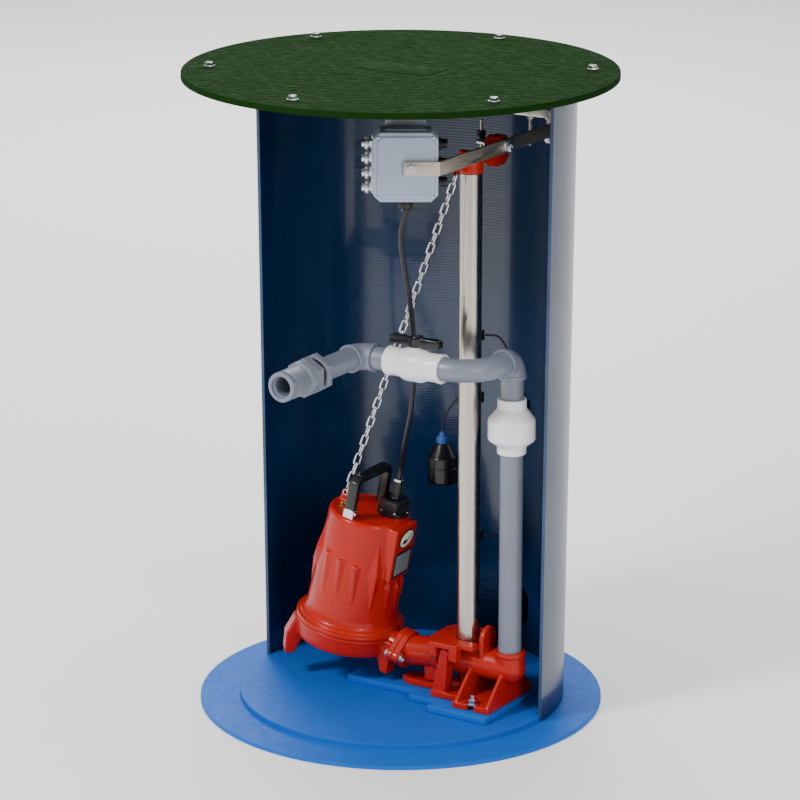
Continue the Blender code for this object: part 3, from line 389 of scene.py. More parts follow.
def ring(name, inner, outer, bottom, top, steps=64, edge=0.0004):
    return turned(name, [
        (inner, bottom), (outer - edge, bottom), (outer, bottom + edge), (outer, top - edge),
        (outer - edge, top), (inner + edge, top), (inner, top - edge),
    ], steps)


def ball(name, radius, steps=48):
    half = steps // 2
    angles = [math.pi * i / half - math.pi / 2 for i in range(1, half)]
    middle = [(radius * math.cos(a), radius * math.sin(a)) for a in angles]
    return turned(name, [(0, -radius), *middle, (0, radius)], steps)


def prism(name, outline, bottom, top, along="Z"):
    """An outline drawn across one axis and extruded along it."""
    axis = "XYZ".index(along)
    bm = bmesh.new()
    face = bm.faces.new([bm.verts.new((*at[:axis], bottom, *at[axis:])) for at in outline])
    grown = bmesh.ops.extrude_face_region(bm, geom=[face])["geom"]
    verts = [item for item in grown if isinstance(item, bmesh.types.BMVert)]
    step = Vector((0, 0, 0))
    step[axis] = top - bottom
    bmesh.ops.translate(bm, verts=verts, vec=step)
    return mesh_from(name, bm)


def block(name, low, high, width=0.0):
    (x0, y0, z0), (x1, y1, z1) = low, high
    made = prism(name, [(x0, y0), (x1, y0), (x1, y1), (x0, y1)], z0, z1)
    return bevel(made, width) if width else made


def around(radius, count, start=0.0):
    """Points evenly spaced on a circle, the first at an angle in degrees."""
    angles = [math.radians(start + 360 * i / count) for i in range(count)]
    return [(radius * math.cos(a), radius * math.sin(a)) for a in angles]


def hexagon(across_flats, start=30):
    return around(across_flats / math.sqrt(3), 6, start)


def arc(centre, radius, start, end, count):
    angles = [math.radians(start + (end - start) * i / count) for i in range(count + 1)]
    return [(centre[0] + radius * math.cos(a), centre[1] + radius * math.sin(a)) for a in angles]


def settle(obj):
    """Turns the object's modifiers into its mesh."""
    bpy.context.view_layer.update()
    graph = bpy.context.evaluated_depsgraph_get()
    mesh = bpy.data.meshes.new_from_object(obj.evaluated_get(graph))
    obj.modifiers.clear()
    obj.data = mesh
    return obj


def bevel(obj, width, segments=3, limit=30):
    mod = obj.modifiers.new("Bevel", "BEVEL")
    mod.width = width
    mod.segments = segments
    mod.limit_method = "ANGLE"
    mod.angle_limit = math.radians(limit)
    return settle(obj)


def combine(base, others, operation):
    for other in others:
        mod = base.modifiers.new(operation.title(), "BOOLEAN")
        mod.operation = operation
        mod.object = other
        settle(base)
        bpy.data.objects.remove(other)
    return base


def fuse(base, *others):
    return combine(base, others, "UNION")


def cut(base, *others):
    return combine(base, others, "DIFFERENCE")


def common(base, *others):
    return combine(base, others, "INTERSECT")


def join(name, parts):
    """Several closed shapes as one object, each left whole."""
    bm = bmesh.new()
    for part in parts:
        bm.from_mesh(part.data)
        bpy.data.objects.remove(part)
    mesh = bpy.data.meshes.new(name)
    bm.to_mesh(mesh)
    bm.free()
    return link(name, mesh)


def cast(obj, voxel=0.0013, passes=3):
    """Rounds every edge and inside corner a little, as a sand casting has them."""
    mod = obj.modifiers.new("Remesh", "REMESH")
    mod.mode = "VOXEL"
    mod.voxel_size = voxel
    mod.adaptivity = 0.0
    soften = obj.modifiers.new("Smooth", "SMOOTH")
    soften.factor = 0.5
    soften.iterations = passes
    return settle(obj)


def along_path(path, steps, rings_of):
    """Rings of points square to a path, carried along it without twisting."""
    ahead = (path[1] - path[0]).normalized()
    side = ahead.orthogonal().normalized()
    made = []
    for i, at in enumerate(path):
        step = path[min(i + 1, len(path) - 1)] - path[max(i - 1, 0)]
        new = step.normalized() if step.length > 1e-9 else ahead
        side = (side - new * side.dot(new)).normalized()
        other = new.cross(side)
        ahead = new
        radius = rings_of[i]
        angles = [math.tau * k / steps for k in range(steps)]
        made.append([at + radius * (side * math.cos(a) + other * math.sin(a)) for a in angles])
    return made


def skin(bm, rings, closed=False):
    """Faces between each ring of points and the next. It gives back the rings' vertices."""
    rows = [[bm.verts.new(p) for p in spots] for spots in rings]
    pairs = list(zip(rows, rows[1:])) + ([(rows[-1], rows[0])] if closed else [])
    for a, b in pairs:
        for k in range(len(a)):
            n = (k + 1) % len(a)
            bm.faces.new((a[k], a[n], b[n], b[k]))
    return rows


def tube(name, path, radius, steps=20):
    """A solid cord with flat ends."""
    bm = bmesh.new()
    rows = skin(bm, along_path(path, steps, [radius] * len(path)))
    for row in (rows[0], rows[-1]):
        bm.faces.new(row)
    return mesh_from(name, bm)


def hollow(name, path, outer, inner, steps=64):
    """A pipe along a path: one outer and one inner radius for each of its points."""
    outside = along_path(path, steps, outer)
    inside = along_path(path, steps, inner)
    bm = bmesh.new()
    skin(bm, outside + inside[::-1], closed=True)
    return mesh_from(name, bm)


def smooth_route(route, spacing):
    """Points at an even spacing along a smooth curve through the route's own points."""
    points = [Vector(p) for p in route]
    ends = [2 * points[0] - points[1], *points, 2 * points[-1] - points[-2]]
    fine = []
    for a, b, c, d in zip(ends, ends[1:], ends[2:], ends[3:]):
        for i in range(40):
            t = i / 40
            turn = (c - a) * t + (2 * a - 5 * b + 4 * c - d) * t**2 + (3 * b - a - 3 * c + d) * t**3
            fine.append(b + turn / 2)
    fine.append(points[-1])
    lengths = [0.0]
    for a, b in zip(fine, fine[1:]):
        lengths.append(lengths[-1] + (b - a).length)
    count = max(1, round(lengths[-1] / spacing))
    even = []
    at = 0
    for i in range(count + 1):
        want = lengths[-1] * i / count
        while at < len(fine) - 2 and lengths[at + 1] < want:
            at += 1
        share = (want - lengths[at]) / (lengths[at + 1] - lengths[at])
        even.append(fine[at].lerp(fine[at + 1], min(1.0, share)))
    return even


def screw(name, across, high, washer=0.0, washer_high=0.0018, stud=0.0, stud_high=0.0):
    """A hexagon head or nut standing on Z=0, over a washer and round a stud if their radii are given."""
    base = washer_high if washer else 0.0
    top = base + high
    crown = turned("crown", [
        (0, base - 0.001), (across * 0.6, base - 0.001), (across * 0.6, base + high * 0.72),
        (across * 0.47, top), (0, top),
    ], 40)
    parts = [ring("washer", across * 0.28, washer, 0, washer_high, 40)] if washer else []
    parts.append(common(prism("head", hexagon(across), base, top), crown))
    if stud:
        end = base + stud_high
        parts.append(rod("stud", stud, base, end, 32, 0.0006))
        parts.append(thread("stud_thread", stud, 0.0012, top + 0.0004, end - 0.0006, 0.0003))
    return join(name, parts)


def thread(name, radius, pitch, bottom, top, depth):
    """A raised screw thread round Z."""
    per_turn = 36
    fade_steps = 10
    inner = radius - 0.0004
    count = max(4, int((top - bottom - pitch) / pitch * per_turn))
    rings = []
    for i in range(count + 1):
        a = math.tau * i / per_turn
        z = bottom + pitch / 2 + pitch * i / per_turn
        high = radius + depth * min(1.0, i / fade_steps, (count - i) / fade_steps)
        spots = [
            (inner, z - pitch * 0.42), (high, z - pitch * 0.1),
            (high, z + pitch * 0.1), (inner, z + pitch * 0.42),
        ]
        rings.append([(r * math.cos(a), r * math.sin(a), h) for r, h in spots])
    bm = bmesh.new()
    rows = skin(bm, rings)
    bm.faces.new(rows[0])
    bm.faces.new(rows[-1])
    return mesh_from(name, bm)


def ribs_round(count, low, high, width):
    """Copies of one small rib, evenly spaced round Z."""
    turns = [k * 360 / count for k in range(count)]
    return [place(block("rib", low, high, width), turn=(0, 0, turn)) for turn in turns]


def facing(obj, direction, at):
    """Turns the mesh from Z to a direction and moves it to a point."""
    turn = direction.to_track_quat("Z", "Y").to_matrix().to_4x4()
    obj.data.transform(Matrix.Translation(at) @ turn)
    return obj


# ---------------------------------------------------------------- finishing a piece


def finish(obj, look, body, *nodes, slot=None, smooth=35):
    """Gives a piece its material, its body and the CAD nodes that it stands for."""
    obj.data.materials.clear()
    obj.data.materials.append(LOOKS[look])
    obj.data.shade_smooth()
    obj.data.set_sharp_from_angle(angle=math.radians(smooth))
    if body:
        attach(obj, body)
    if nodes:
        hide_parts(*nodes)
    return obj


def in_pump(obj):
    obj.data.transform(PUMP_FRAME)
    return obj


def in_box(obj):
    obj.data.transform(BOX_FRAME)
    return obj


# ---------------------------------------------------------------- base, basin and cover

COVER_BOLTS = around(COVER_BOLT_CIRCLE, 6, 30)


def bolt_holes(z, spots):
    """Cutters for the cover's bolts."""
    return [place(rod("hole", 0.0058, -0.03, 0.03, 24), (*spot, z)) for spot in spots]


def make_base():
    edge = arc((FLANGE_RADIUS - 0.0012, FLANGE_THICK - 0.0012), 0.0012, 0, 90, 4)
    step = arc((FLOOR_RADIUS - 0.0014, FLOOR_TOP - 0.0014), 0.0014, 0, 90, 4)
    fillet = arc((FLOOR_RADIUS + 0.0008, FLANGE_THICK + 0.0008), 0.0008, 270, 180, 3)
    base = turned("base_disc", [(0, 0), (FLANGE_RADIUS, 0), *edge, *fillet, *step, (0, FLOOR_TOP)], 192)
    finish(base, "blue_base", "station", "base_flange")
    steps = [(-0.096, 0.041), (0.057, 0.066), (0.115, 0.096), (0.2425, None)]  # start x, half width
    chamfer = 0.0045
    near = []
    for (x0, half), (x1, _) in zip(steps, steps[1:]):
        near += [(x0, -half + chamfer), (x0 + chamfer, -half), (x1, -half)]
    outline = near + [(x, -y) for x, y in reversed(near)]
    pad = bevel(prism("mounting_pad_strips", outline, FLOOR_TOP + 0.0001, PAD_TOP), 0.0016, 3)
    finish(pad, "blue_base", "station", "mounting_pad")


def make_basin():
    foot = FLANGE_THICK + GAP
    sill = FLOOR_TOP + GAP
    top = COVER_UNDER - GAP
    toe = FLOOR_RADIUS + 0.0008
    corner = 0.012
    fillet = arc((WALL_OUTER_TOP + corner, top - RIM_THICK - corner), corner, 180, 90, 8)
    rim = arc((RIM_RADIUS - 0.002, top - 0.002), 0.002, 0, 90, 3)
    band_radius = WALL_OUTER_BOTTOM + (WALL_OUTER_TOP - WALL_OUTER_BOTTOM) * FOOT_BAND / top
    shell = turned("basin_half", [
        (toe, foot), (WALL_OUTER_BOTTOM, foot), (band_radius, FOOT_BAND), *fillet,
        (RIM_RADIUS, top - RIM_THICK), *rim, (WALL_OUTER_TOP - WALL, top),
        (WALL_OUTER_BOTTOM - WALL, sill), (toe, sill),
    ], 144, math.pi)
    cut(shell, *bolt_holes(COVER_UNDER, [(x, y) for x, y in COVER_BOLTS if y > 0]))
    shell.data.materials.clear()
    for look in ("inside", "outside", "cut_laminate", "foot_band"):
        shell.data.materials.append(LOOKS[look])
    for face in shell.data.polygons:
        middle = face.center
        radius = math.hypot(middle.x, middle.y)
        outward = face.normal.x * middle.x + face.normal.y * middle.y
        if middle.y < 0.0005 and abs(face.normal.y) > 0.9:
            face.material_index = 2
        elif outward > 0.2 * radius or radius > WALL_OUTER_TOP + 0.001:
            face.material_index = 3 if middle.z < FOOT_BAND else 1
    shell.data.shade_smooth()
    shell.data.set_sharp_from_angle(angle=math.radians(35))
    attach(shell, "station")
    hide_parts("basin_shell")


def diamond(x, y, turn, long=0.0205, wide=0.0062, high=0.0008):
    """One raised lozenge of the tread plate: four sloping sides up to a flat top."""
    c, s = math.cos(turn), math.sin(turn)
    low = [(-long / 2, 0), (0, -wide / 2), (long / 2, 0), (0, wide / 2)]
    top = [(a * 0.62, b * 0.4) for a, b in low]
    spots = [(a, b, -0.0004) for a, b in low] + [(a, b, high) for a, b in top]
    return [(x + a * c - b * s, y + a * s + b * c, COVER_FACE + z) for a, b, z in spots]


def make_tread():
    """Lozenges in a basket pattern, kept off the rim, the bolts and the blank pad."""
    pitch = 0.0165
    reach = COVER_RADIUS - 0.022
    bolt_clear = 0.026
    pad_x, pad_y = 0.088, 0.047
    count = int(reach / pitch) + 2
    bm = bmesh.new()
    for i in range(-count, count + 1):
        for j in range(-count, count + 1):
            x = i * pitch
            y = j * pitch
            clear = min(math.hypot(x - a, y - b) for a, b in COVER_BOLTS)
            on_pad = abs(x) < pad_x and abs(y) < pad_y
            if math.hypot(x, y) > reach or clear < bolt_clear or on_pad:
                continue
            verts = [bm.verts.new(p) for p in diamond(x, y, math.radians(45 if (i + j) % 2 else -45))]
            for k in range(4):
                n = (k + 1) % 4
                bm.faces.new((verts[k], verts[n], verts[n + 4], verts[k + 4]))
            bm.faces.new(verts[4:])
            bm.faces.new(verts[3::-1])
    return mesh_from("tread", bm)


def make_cover():
    under = COVER_UNDER
    face = COVER_FACE
    edge = arc((COVER_RADIUS - 0.0025, face - 0.0025), 0.0025, 0, 90, 5)
    lower = arc((COVER_RADIUS - 0.0012, under + 0.0012), 0.0012, 270, 360, 3)
    groove = [(COVER_RADIUS - 0.0115, face), (COVER_RADIUS - 0.0128, face - 0.0007), (COVER_RADIUS - 0.0141, face)]
    cover = turned("cover_plate", [(0, under), *lower, *edge, *groove, (0, face)], 192)
    cut(cover, *bolt_holes(under, COVER_BOLTS))
    blank = bevel(block("blank", (-0.078, -0.036, face - 0.001), (0.078, 0.036, face + 0.0012)), 0.0008, 2)
    rounds = [place(rod("spot", 0.0215, -0.001, 0.0009, 48, 0.0004), (*spot, face)) for spot in COVER_BOLTS]
    whole = join("cover_tread_plate", [cover, make_tread(), blank, *rounds])
    cut(whole, *bolt_holes(face, COVER_BOLTS))
    finish(whole, "green_cover", "cover", "cover", smooth=28)
    low = -COVER_THICK - 0.006
    for i, spot in enumerate(COVER_BOLTS, 1):
        marked = join(f"cover_bolt_set_{i}", [
            screw("cover_bolt", 0.0145, 0.006, 0.0105, 0.002),
            rod("shank", 0.0048, low, 0.003, 24, 0.0006),
            thread("winding", 0.0048, 0.0015, low, -COVER_THICK, 0.0005),
        ])
        place(marked, (*spot, STATION_HEIGHT), (0, 0, 17 * i))
        finish(marked, "bright_steel", "cover", f"cover_bolt_{i}")


# ---------------------------------------------------------------- rail, elbow and brackets


def flange_outline():
    """Round top and bottom with an ear for a bolt on each side, across the discharge."""
    centre = (0, DISCHARGE_Z)
    outline = arc(centre, 0.0365, 62, 118, 10)
    outline += arc((-DISCHARGE_BOLT_Y, DISCHARGE_BOLT_Z), 0.0115, 120, 240, 10)
    outline += arc(centre, 0.0365, 242, 298, 10)
    return outline + arc((DISCHARGE_BOLT_Y, DISCHARGE_BOLT_Z), 0.0115, -60, 60, 10)


def make_base_elbow():
    plate_line = [
        (0.012, -0.012), (0.03, -0.022), (0.092, -0.022), (0.098, -0.052), (0.155, -0.052),
        (0.162, -0.079), (0.239, -0.079),
    ]
    outline = plate_line + [(x, -y) for x, y in reversed(plate_line)]
    plate = prism("plate", outline, PLATE_UNDER, PLATE_TOP)
    notch_x, notch_half = 0.2, 0.007
    for side in (-1, 1):
        notch = [
            (notch_x + notch_half, 0.09), *arc((notch_x, 0.067), notch_half, 0, -180, 16),
            (notch_x - notch_half, 0.09),
        ]
        cut(plate, prism("notch", [(x, y * side) for x, y in notch], 0.01, 0.06))
    barrel_out = FACE_X + GAP
    barrel_end = RISER_X - barrel_out
    barrel = [
        (0, 0), (0.0304, 0), (0.0308, 0.0006), (0.0308, 0.0085), (0.0302, 0.0095),
        (BARREL_RADIUS, 0.0115), (BARREL_RADIUS, barrel_end), (0, barrel_end),
    ]
    solids = [
        plate,
        place(turned("barrel", barrel, 96), (barrel_out, 0, BARREL_Z), RIGHTWARD),
        place(ball("heel", 0.0292, 80), (RISER_X, 0, BARREL_Z)),
        place(turned("hub", [
            (0, 0), (0.0275, 0), (0.0275, 0.024), (0.0292, 0.0262), (0.0292, 0.0322),
            (0.0282, 0.0335), (0, 0.0335),
        ], 96), (RISER_X, 0, BARREL_Z)),
        place(turned("rail_seat", [
            (0, 0.01), (0.0228, 0.026), (0.0205, 0.034), (0.0205, 0.0392), (0, 0.0392),
        ], 72), (RAIL_X, 0, BARREL_Z)),
        place(rod("rail_plug", 0.0160, 0.03, 0.062, 56, 0.0015), (RAIL_X, 0, BARREL_Z)),
    ]
    shoulder = PLATE_TOP + 0.002
    web = [
        (-0.0775, 0.036), (0.0775, 0.036), (0.0775, shoulder),
        (0.024, 0.097), (-0.024, 0.097), (-0.0775, shoulder),
    ]
    solids += [prism("web", web, x, x + 0.0065, "X") for x in (0.1655, 0.2315)]
    for side in (-1, 1):
        near, far = sorted((0.0405 * side, 0.0505 * side))
        claw = [(0.0975, 0.036), (0.127, 0.036), (0.1335, 0.112)]
        claw += arc((0.1262, 0.1195), 0.0096, -20, 200, 20)
        claw += [(0.1145, 0.108)]
        solids.append(prism("claw", claw, near, far, "Y"))
        brace = [(0.02, 0.036), (0.0405, 0.036), (0.0405, 0.095), (0.02, 0.085)]
        solids.append(prism("brace", [(y * side, z) for y, z in brace], 0.119, 0.127, "X"))
    ear = [(-0.0255, 0.11), (0.0255, 0.11), *arc((0, 0.1465), 0.0255, 0, 180, 32)]
    solids.append(prism("ear", ear, 0.186, 0.195, "X"))
    solids.append(prism("fin", [(0.173, 0.12), (0.188, 0.12), (0.188, 0.152)], -0.003, 0.003, "Y"))
    elbow = cast(join("elbow_casting", solids), 0.00135, 3)
    cut(
        elbow,
        place(rod("bore", BORE, -0.01, barrel_end + 0.0017, 56), (barrel_out, 0, BARREL_Z), RIGHTWARD),
        place(rod("riser_bore", BORE + GAP, -0.002, 0.05, 56), (RISER_X, 0, BARREL_Z), (0, 0, 5)),
        place(rod("socket", PIPE_RADIUS + 0.0008, 0.015, 0.06, 64), (RISER_X, 0, BARREL_Z)),
        place(rod("ear_hole", 0.0050, -0.02, 0.02, 32), (0.19, 0, 0.1585), RIGHTWARD),
    )
    finish(elbow, "red_iron", "station", "base_elbow", smooth=50)
    for side, where in ((-1, "front"), (1, "back")):
        anchor = screw("anchor_set_" + where, 0.0165, 0.008, 0.0125, 0.0022, 0.0045, 0.0150)
        place(anchor, (notch_x, 0.069 * side, PLATE_TOP + 0.0001), (0, 0, 14 * side))
        finish(anchor, "bright_steel", "station", "anchor_bolt_" + where)


def make_guide_rail():
    rail = ring("guide_rail_pipe", PIPE_BORE, PIPE_RADIUS, RAIL_BOTTOM, RAIL_TOP, 96, 0.0008)
    finish(place(rail, (RAIL_X, 0, 0)), "rail_stainless", "station", "guide_rail", slot="stainless")


def make_upper_bracket():
    crown = RAIL_TOP + 0.0225
    low = RAIL_TOP - 0.022
    shelf = RAIL_TOP + GAP
    plug = turned("plug", [
        (0, low), (0.0160, low), (0.0168, RAIL_TOP - 0.021), (0.0168, shelf), (0.0218, shelf),
        (0.0226, RAIL_TOP + 0.005), (0.0218, crown - 0.002), (0.0200, crown), (0, crown),
    ], 72)
    place(plug, (RAIL_X, 0, 0))
    arm = [
        (-0.026, 1.040), (0.058, 1.030), (0.072, 1.018), (0.1, 1.018), (0.115, 1.03), (0.115, 1.062),
        (0.104, 1.072), (0.072, 1.072), (0.06, 1.056), (-0.01, 1.054), (-0.014, 1.064), (-0.026, 1.064),
    ]
    body = cast(join("bracket_casting", [
        plug,
        prism("arm", arm, RAIL_X - 0.0105, RAIL_X + 0.0105, "X"),
        place(rod("boss", 0.0165, -0.0145, 0.0145, 64), (RAIL_X, STUD_Y, STRAP_Z), RIGHTWARD),
        place(ring("eye", 0.0038, 0.0065, -0.0035, 0.0035, 40), CHAIN_EYE, FORWARD),
        block("hanger", (0.1150, -0.003, 1.0215), (0.1295, 0.003, 1.0305)),
    ]), 0.0011, 3)
    cut(body, place(rod("stud_hole", 0.0052, -0.03, 0.03, 32), (RAIL_X, STUD_Y, STRAP_Z), RIGHTWARD))
    finish(body, "red_iron", "station", "upper_guide_bracket", smooth=50)


def make_brace_strap():
    """A flat bar from the basin's wall past the stud, then bent to lie along the box's lid."""
    low, high = STRAP_Z - 0.0125, STRAP_Z + 0.0125
    toward = Vector((-math.cos(BOX_TURN), -math.sin(BOX_TURN)))
    out = Vector((math.sin(BOX_TURN), -math.cos(BOX_TURN)))
    bend_y = BOX_AT.y + ((STRAP_X - BOX_AT.x) * out.x - 2 * GAP) / -out.y
    bend = Vector((STRAP_X, bend_y))
    tip = bend + toward * 0.061
    width = STRAP_THICK
    outline = [
        (STRAP_X, STRAP_BACK_Y), bend, tip, tip + out * width,
        bend + out * width + Vector((width * 0.55, 0)), (STRAP_X + width, STRAP_BACK_Y),
    ]
    strap = prism("strap_bar", outline, low, high)
    foot = block("foot", (STRAP_X - 0.008, STRAP_BACK_Y - 0.0035, 1.03), (0.1795, STRAP_BACK_Y, 1.086))
    fuse(strap, foot)
    cut(strap, place(rod("hole", 0.0052, -0.02, 0.02, 32), (STRAP_X, STUD_Y, STRAP_Z), RIGHTWARD))
    bevel(strap, 0.0007, 2)
    finish(strap, "strap_steel", "station", "brace_strap", slot="stainless")
    spot = tip - toward * 0.0135 + out * width
    bolt = place(screw("strap_tip_bolt", 0.0150, 0.0055, 0.0100, 0.0016), turn=FORWARD)
    place(bolt, (spot.x, spot.y, STRAP_Z), (0, 0, math.degrees(BOX_TURN)))
    finish(bolt, "bright_steel", "station")
    for z in (1.037, 1.079):
        fixing = screw(f"strap_foot_bolt_{round(z * 1000)}", 0.0095, 0.004, 0.0065, 0.0012)
        place(fixing, (STRAP_X - 0.0042, STRAP_BACK_Y - 0.0035, z), FORWARD)
        finish(fixing, "bright_steel", "station")


def make_wall_bracket():
    """An angle on the wall, and the rod that hangs from it between two nuts."""
    shelf_line = [(0.1, 0.197), (0.2335, 0.197), (0.2085, 0.225), (0.1, 0.225)]
    shelf = prism("shelf", shelf_line, 1.0885, 1.0925)
    lip = block("lip", (0.1, 0.197, 1.0885), (0.2335, 0.2005, 1.104))
    rod_at = (0.149, 0.207)
    nut = (0.013, 0.0055, 0.0095, 0.0015)
    parts = [
        bevel(fuse(shelf, lip), 0.0006, 2),
        place(rod("hung", 0.004, 1.032, 1.091, 40, 0.0008), (*rod_at, 0)),
        place(thread("winding", 0.004, 0.00125, 1.033, 1.0885, 0.0004), (*rod_at, 0)),
        place(screw("under", *nut), (*rod_at, 1.0883), (180, 0, 0)),
        place(screw("over", *nut), (*rod_at, 1.0926)),
    ]
    for x in (0.125, 0.2):
        bolt = screw("lip_bolt", 0.009, 0.0035, 0.0062, 0.001)
        parts.append(place(bolt, (x, 0.197, 1.0975), FORWARD))
    finish(join("wall_bracket_set", parts), "stainless", "station", "wall_bracket")


def make_bracket_stud():
    made = join("bracket_stud_set", [
        rod("stud", 0.0042, -0.064, 0.0125, 40, 0.0008),
        thread("winding", 0.0042, 0.00125, -0.063, 0.0118, 0.0004),
        screw("front", 0.0190, 0.0085, 0.0140, 0.0026),
        place(screw("back", 0.0145, 0.007), (0, 0, -0.0475)),
    ])
    place(made, (STRAP_X + STRAP_THICK, STUD_Y, STRAP_Z), RIGHTWARD)
    finish(made, "grip_metal", "station", "bracket_stud", slot="stainless")


# ---------------------------------------------------------------- junction box


def box_outline(shrink=0.0, corner=0.012):
    half = BOX_WIDTH / 2 - shrink
    low, high = shrink, BOX_HEIGHT - shrink
    corner = max(0.002, corner - shrink * 0.5)
    return [
        (-half + corner, low), (half - corner, low), (half, low + corner), (half, high - corner),
        (half - corner, high), (-half + corner, high), (-half, high - corner), (-half, low + corner),
    ]


def make_junction_box():
    wall = 0.003
    case = prism("junction_box_case", box_outline(), LID_DEPTH + GAP, BOX_DEPTH, "Y")
    cut(case, prism("hollow", box_outline(wall), LID_DEPTH, BOX_DEPTH - wall, "Y"))
    finish(in_box(bevel(case, 0.0012, 3)), "box_plastic", "station", "junction_box")
    lid = prism("junction_box_lid_panel", box_outline(), 0.0032, LID_DEPTH, "Y")
    panel = prism("panel", box_outline(0.0075), 0.0, 0.006, "Y")
    fuse(bevel(lid, 0.0022, 4), bevel(panel, 0.0012, 3))
    cut(lid, prism("field", box_outline(0.0125), -0.001, 0.0006, "Y"))
    cut(lid, prism("hollow", box_outline(0.009), 0.006, BOX_DEPTH, "Y"))
    finish(in_box(lid), "box_plastic", "station", "junction_box_lid")
    seam = prism("lid_gasket", box_outline(0.0009), LID_DEPTH - 0.0002, LID_DEPTH + 0.0005, "Y")
    cut(seam, prism("hollow", box_outline(0.004), LID_DEPTH - 0.001, LID_DEPTH + 0.002, "Y"))
    finish(in_box(seam), "black_rubber", "station")
    inset_x, inset_z = 0.0098, 0.0092
    dome = [(0, 0.0002), (0.0032, 0.0002), (0.0034, 0.001), (0.0026, 0.0021), (0, 0.0023)]
    screws = []
    for side in (-1, 1):
        for z in (inset_z, BOX_HEIGHT - inset_z):
            head = turned("head", dome, 28)
            cut(head, block("slot", (-0.0005, -0.004, 0.0014), (0.0005, 0.004, 0.004)))
            screws.append(place(head, (side * (BOX_WIDTH / 2 - inset_x), 0.0033, z), (90, 40, 0)))
    finish(in_box(join("lid_screws", screws)), "bright_steel", "station")


def make_box_hanger():
    half, tip, corner = 0.036, 0.1852, 0.006
    low = BOX_HEIGHT + 0.0001
    shoulder = tip - corner
    hanger = block("hanger_tab", (-half, 0.018, low), (half, 0.056, BOX_HEIGHT + 0.003))
    tab_line = [
        (-half, low), (half, low), (half, shoulder), (half - corner, tip), (corner - half, tip),
        (-half, shoulder),
    ]
    fuse(hanger, prism("tab", tab_line, 0.053, 0.056, "Y"))
    for x in (-0.02, 0.0, 0.02):
        cut(hanger, place(rod("slot", 0.0032, -0.01, 0.01, 24), (x, 0.0545, 0.172), FORWARD))
    finish(in_box(bevel(hanger, 0.0005, 2, 50)), "tab_steel", "station", "box_hanger", slot="stainless")


def make_connectors():
    """Four bright cord grips up the box's left side, with ribbed nuts, and three black ones on its right."""
    half = BOX_WIDTH / 2
    parts = [block("strip", (-half - 0.0030, 0.0315, 0.010), (-half - 0.0001, 0.0405, 0.114), 0.0006)]
    for i in range(4):
        base = prism("base", hexagon(0.0185, 0), 0.0004, 0.0052)
        nut = turned("nut", [
            (0, 0.0050), (0.0062, 0.0050), (0.0062, 0.0072), (0.0098, 0.0074), (0.0108, 0.0082),
            (0.0108, 0.0128), (0.0098, 0.0136), (0.0066, 0.0142), (0.0062, 0.0160), (0.0078, 0.0165),
            (0.0078, 0.0192), (0, 0.0196),
        ], 48)
        ribs = ribs_round(12, (0.0100, -0.0008, 0.0080), (0.0113, 0.0008, 0.0130), 0.0002)
        grip = join("grip", [base, nut, *ribs])
        parts.append(place(grip, (-half - 0.001, BOX_GLAND_Y, 0.02 + i * 0.0262), (0, -90, 0)))
    side_grips = []
    for z in (0.028, 0.062, 0.096):
        grip = turned("side_grip", [
            (0, 0), (0.0105, 0), (0.0105, 0.0055), (0.0088, 0.0065), (0.0088, 0.0140),
            (0.0070, 0.0165), (0, 0.0168),
        ], 40)
        side_grips.append(place(grip, (half + 0.0001, 0.0435, z), RIGHTWARD))
    finish(in_box(join("side_cord_grips", side_grips)), "black_plastic", "station")
    made = join("cord_grips", parts)
    finish(in_box(made), "grip_metal", "station", "cord_connectors", slot="stainless")


def make_box_gland():
    hole = CORD_RADIUS + 0.0003
    body = turned("body", [
        (hole, -0.0001), (0.0105, -0.0001), (0.0105, -0.0078), (0.0118, -0.0078), (0.0125, -0.0086),
        (0.0125, -0.0162), (0.0118, -0.017), (0.0094, -0.0192), (0.0085, -0.023), (0.0075, -0.0236),
        (hole, -0.0236),
    ], 56)
    ribs = ribs_round(14, (0.0118, -0.0009, -0.0165), (0.0129, 0.0009, -0.0084), 0.0003)
    made = place(join("box_gland_set", [body, *ribs]), (0, BOX_GLAND_Y, 0))
    finish(in_box(made), "black_plastic", "station", "box_gland")


# ---------------------------------------------------------------- riser and discharge line


def make_riser():
    pipe = ring("riser_tube", PIPE_BORE, PIPE_RADIUS, BARREL_Z + 0.0155, CHECK_BOTTOM + 0.021, 96)
    finish(place(pipe, (RISER_X, 0, 0)), "grey_pvc", "station", "riser_pipe")
    bore = SOCKET_BORE
    body = turned("check_valve_case", [
        (bore, CHECK_BOTTOM), (0.0258, CHECK_BOTTOM), (0.0265, CHECK_BOTTOM + 0.0008), (0.0265, 0.5262),
        (0.0278, 0.5278), (0.0420, 0.5390), *arc((0.0415, 0.543), 0.0020, -40, 0, 4),
        (0.0435, 0.5520), (0.0428, 0.5528), (0.0428, 0.5548), (0.0435, 0.5556), (0.0435, 0.5770),
        *arc((0.0415, 0.577), 0.0020, 0, 45, 4), (0.0278, 0.5968), (0.0265, 0.5990),
        (0.0265, CHECK_TOP - 0.0008), (0.0258, CHECK_TOP), (bore, CHECK_TOP),
        (bore, CHECK_TOP - 0.0203), (0.0190, CHECK_TOP - 0.0203), (0.0375, 0.577), (0.0375, 0.5425),
        (0.0165, 0.5425), (0.0165, CHECK_BOTTOM + 0.0213), (bore, CHECK_BOTTOM + 0.0213),
    ], 128)
    finish(place(body, (RISER_X, 0, 0)), "white_pvc", "station", "check_valve_body", smooth=30)


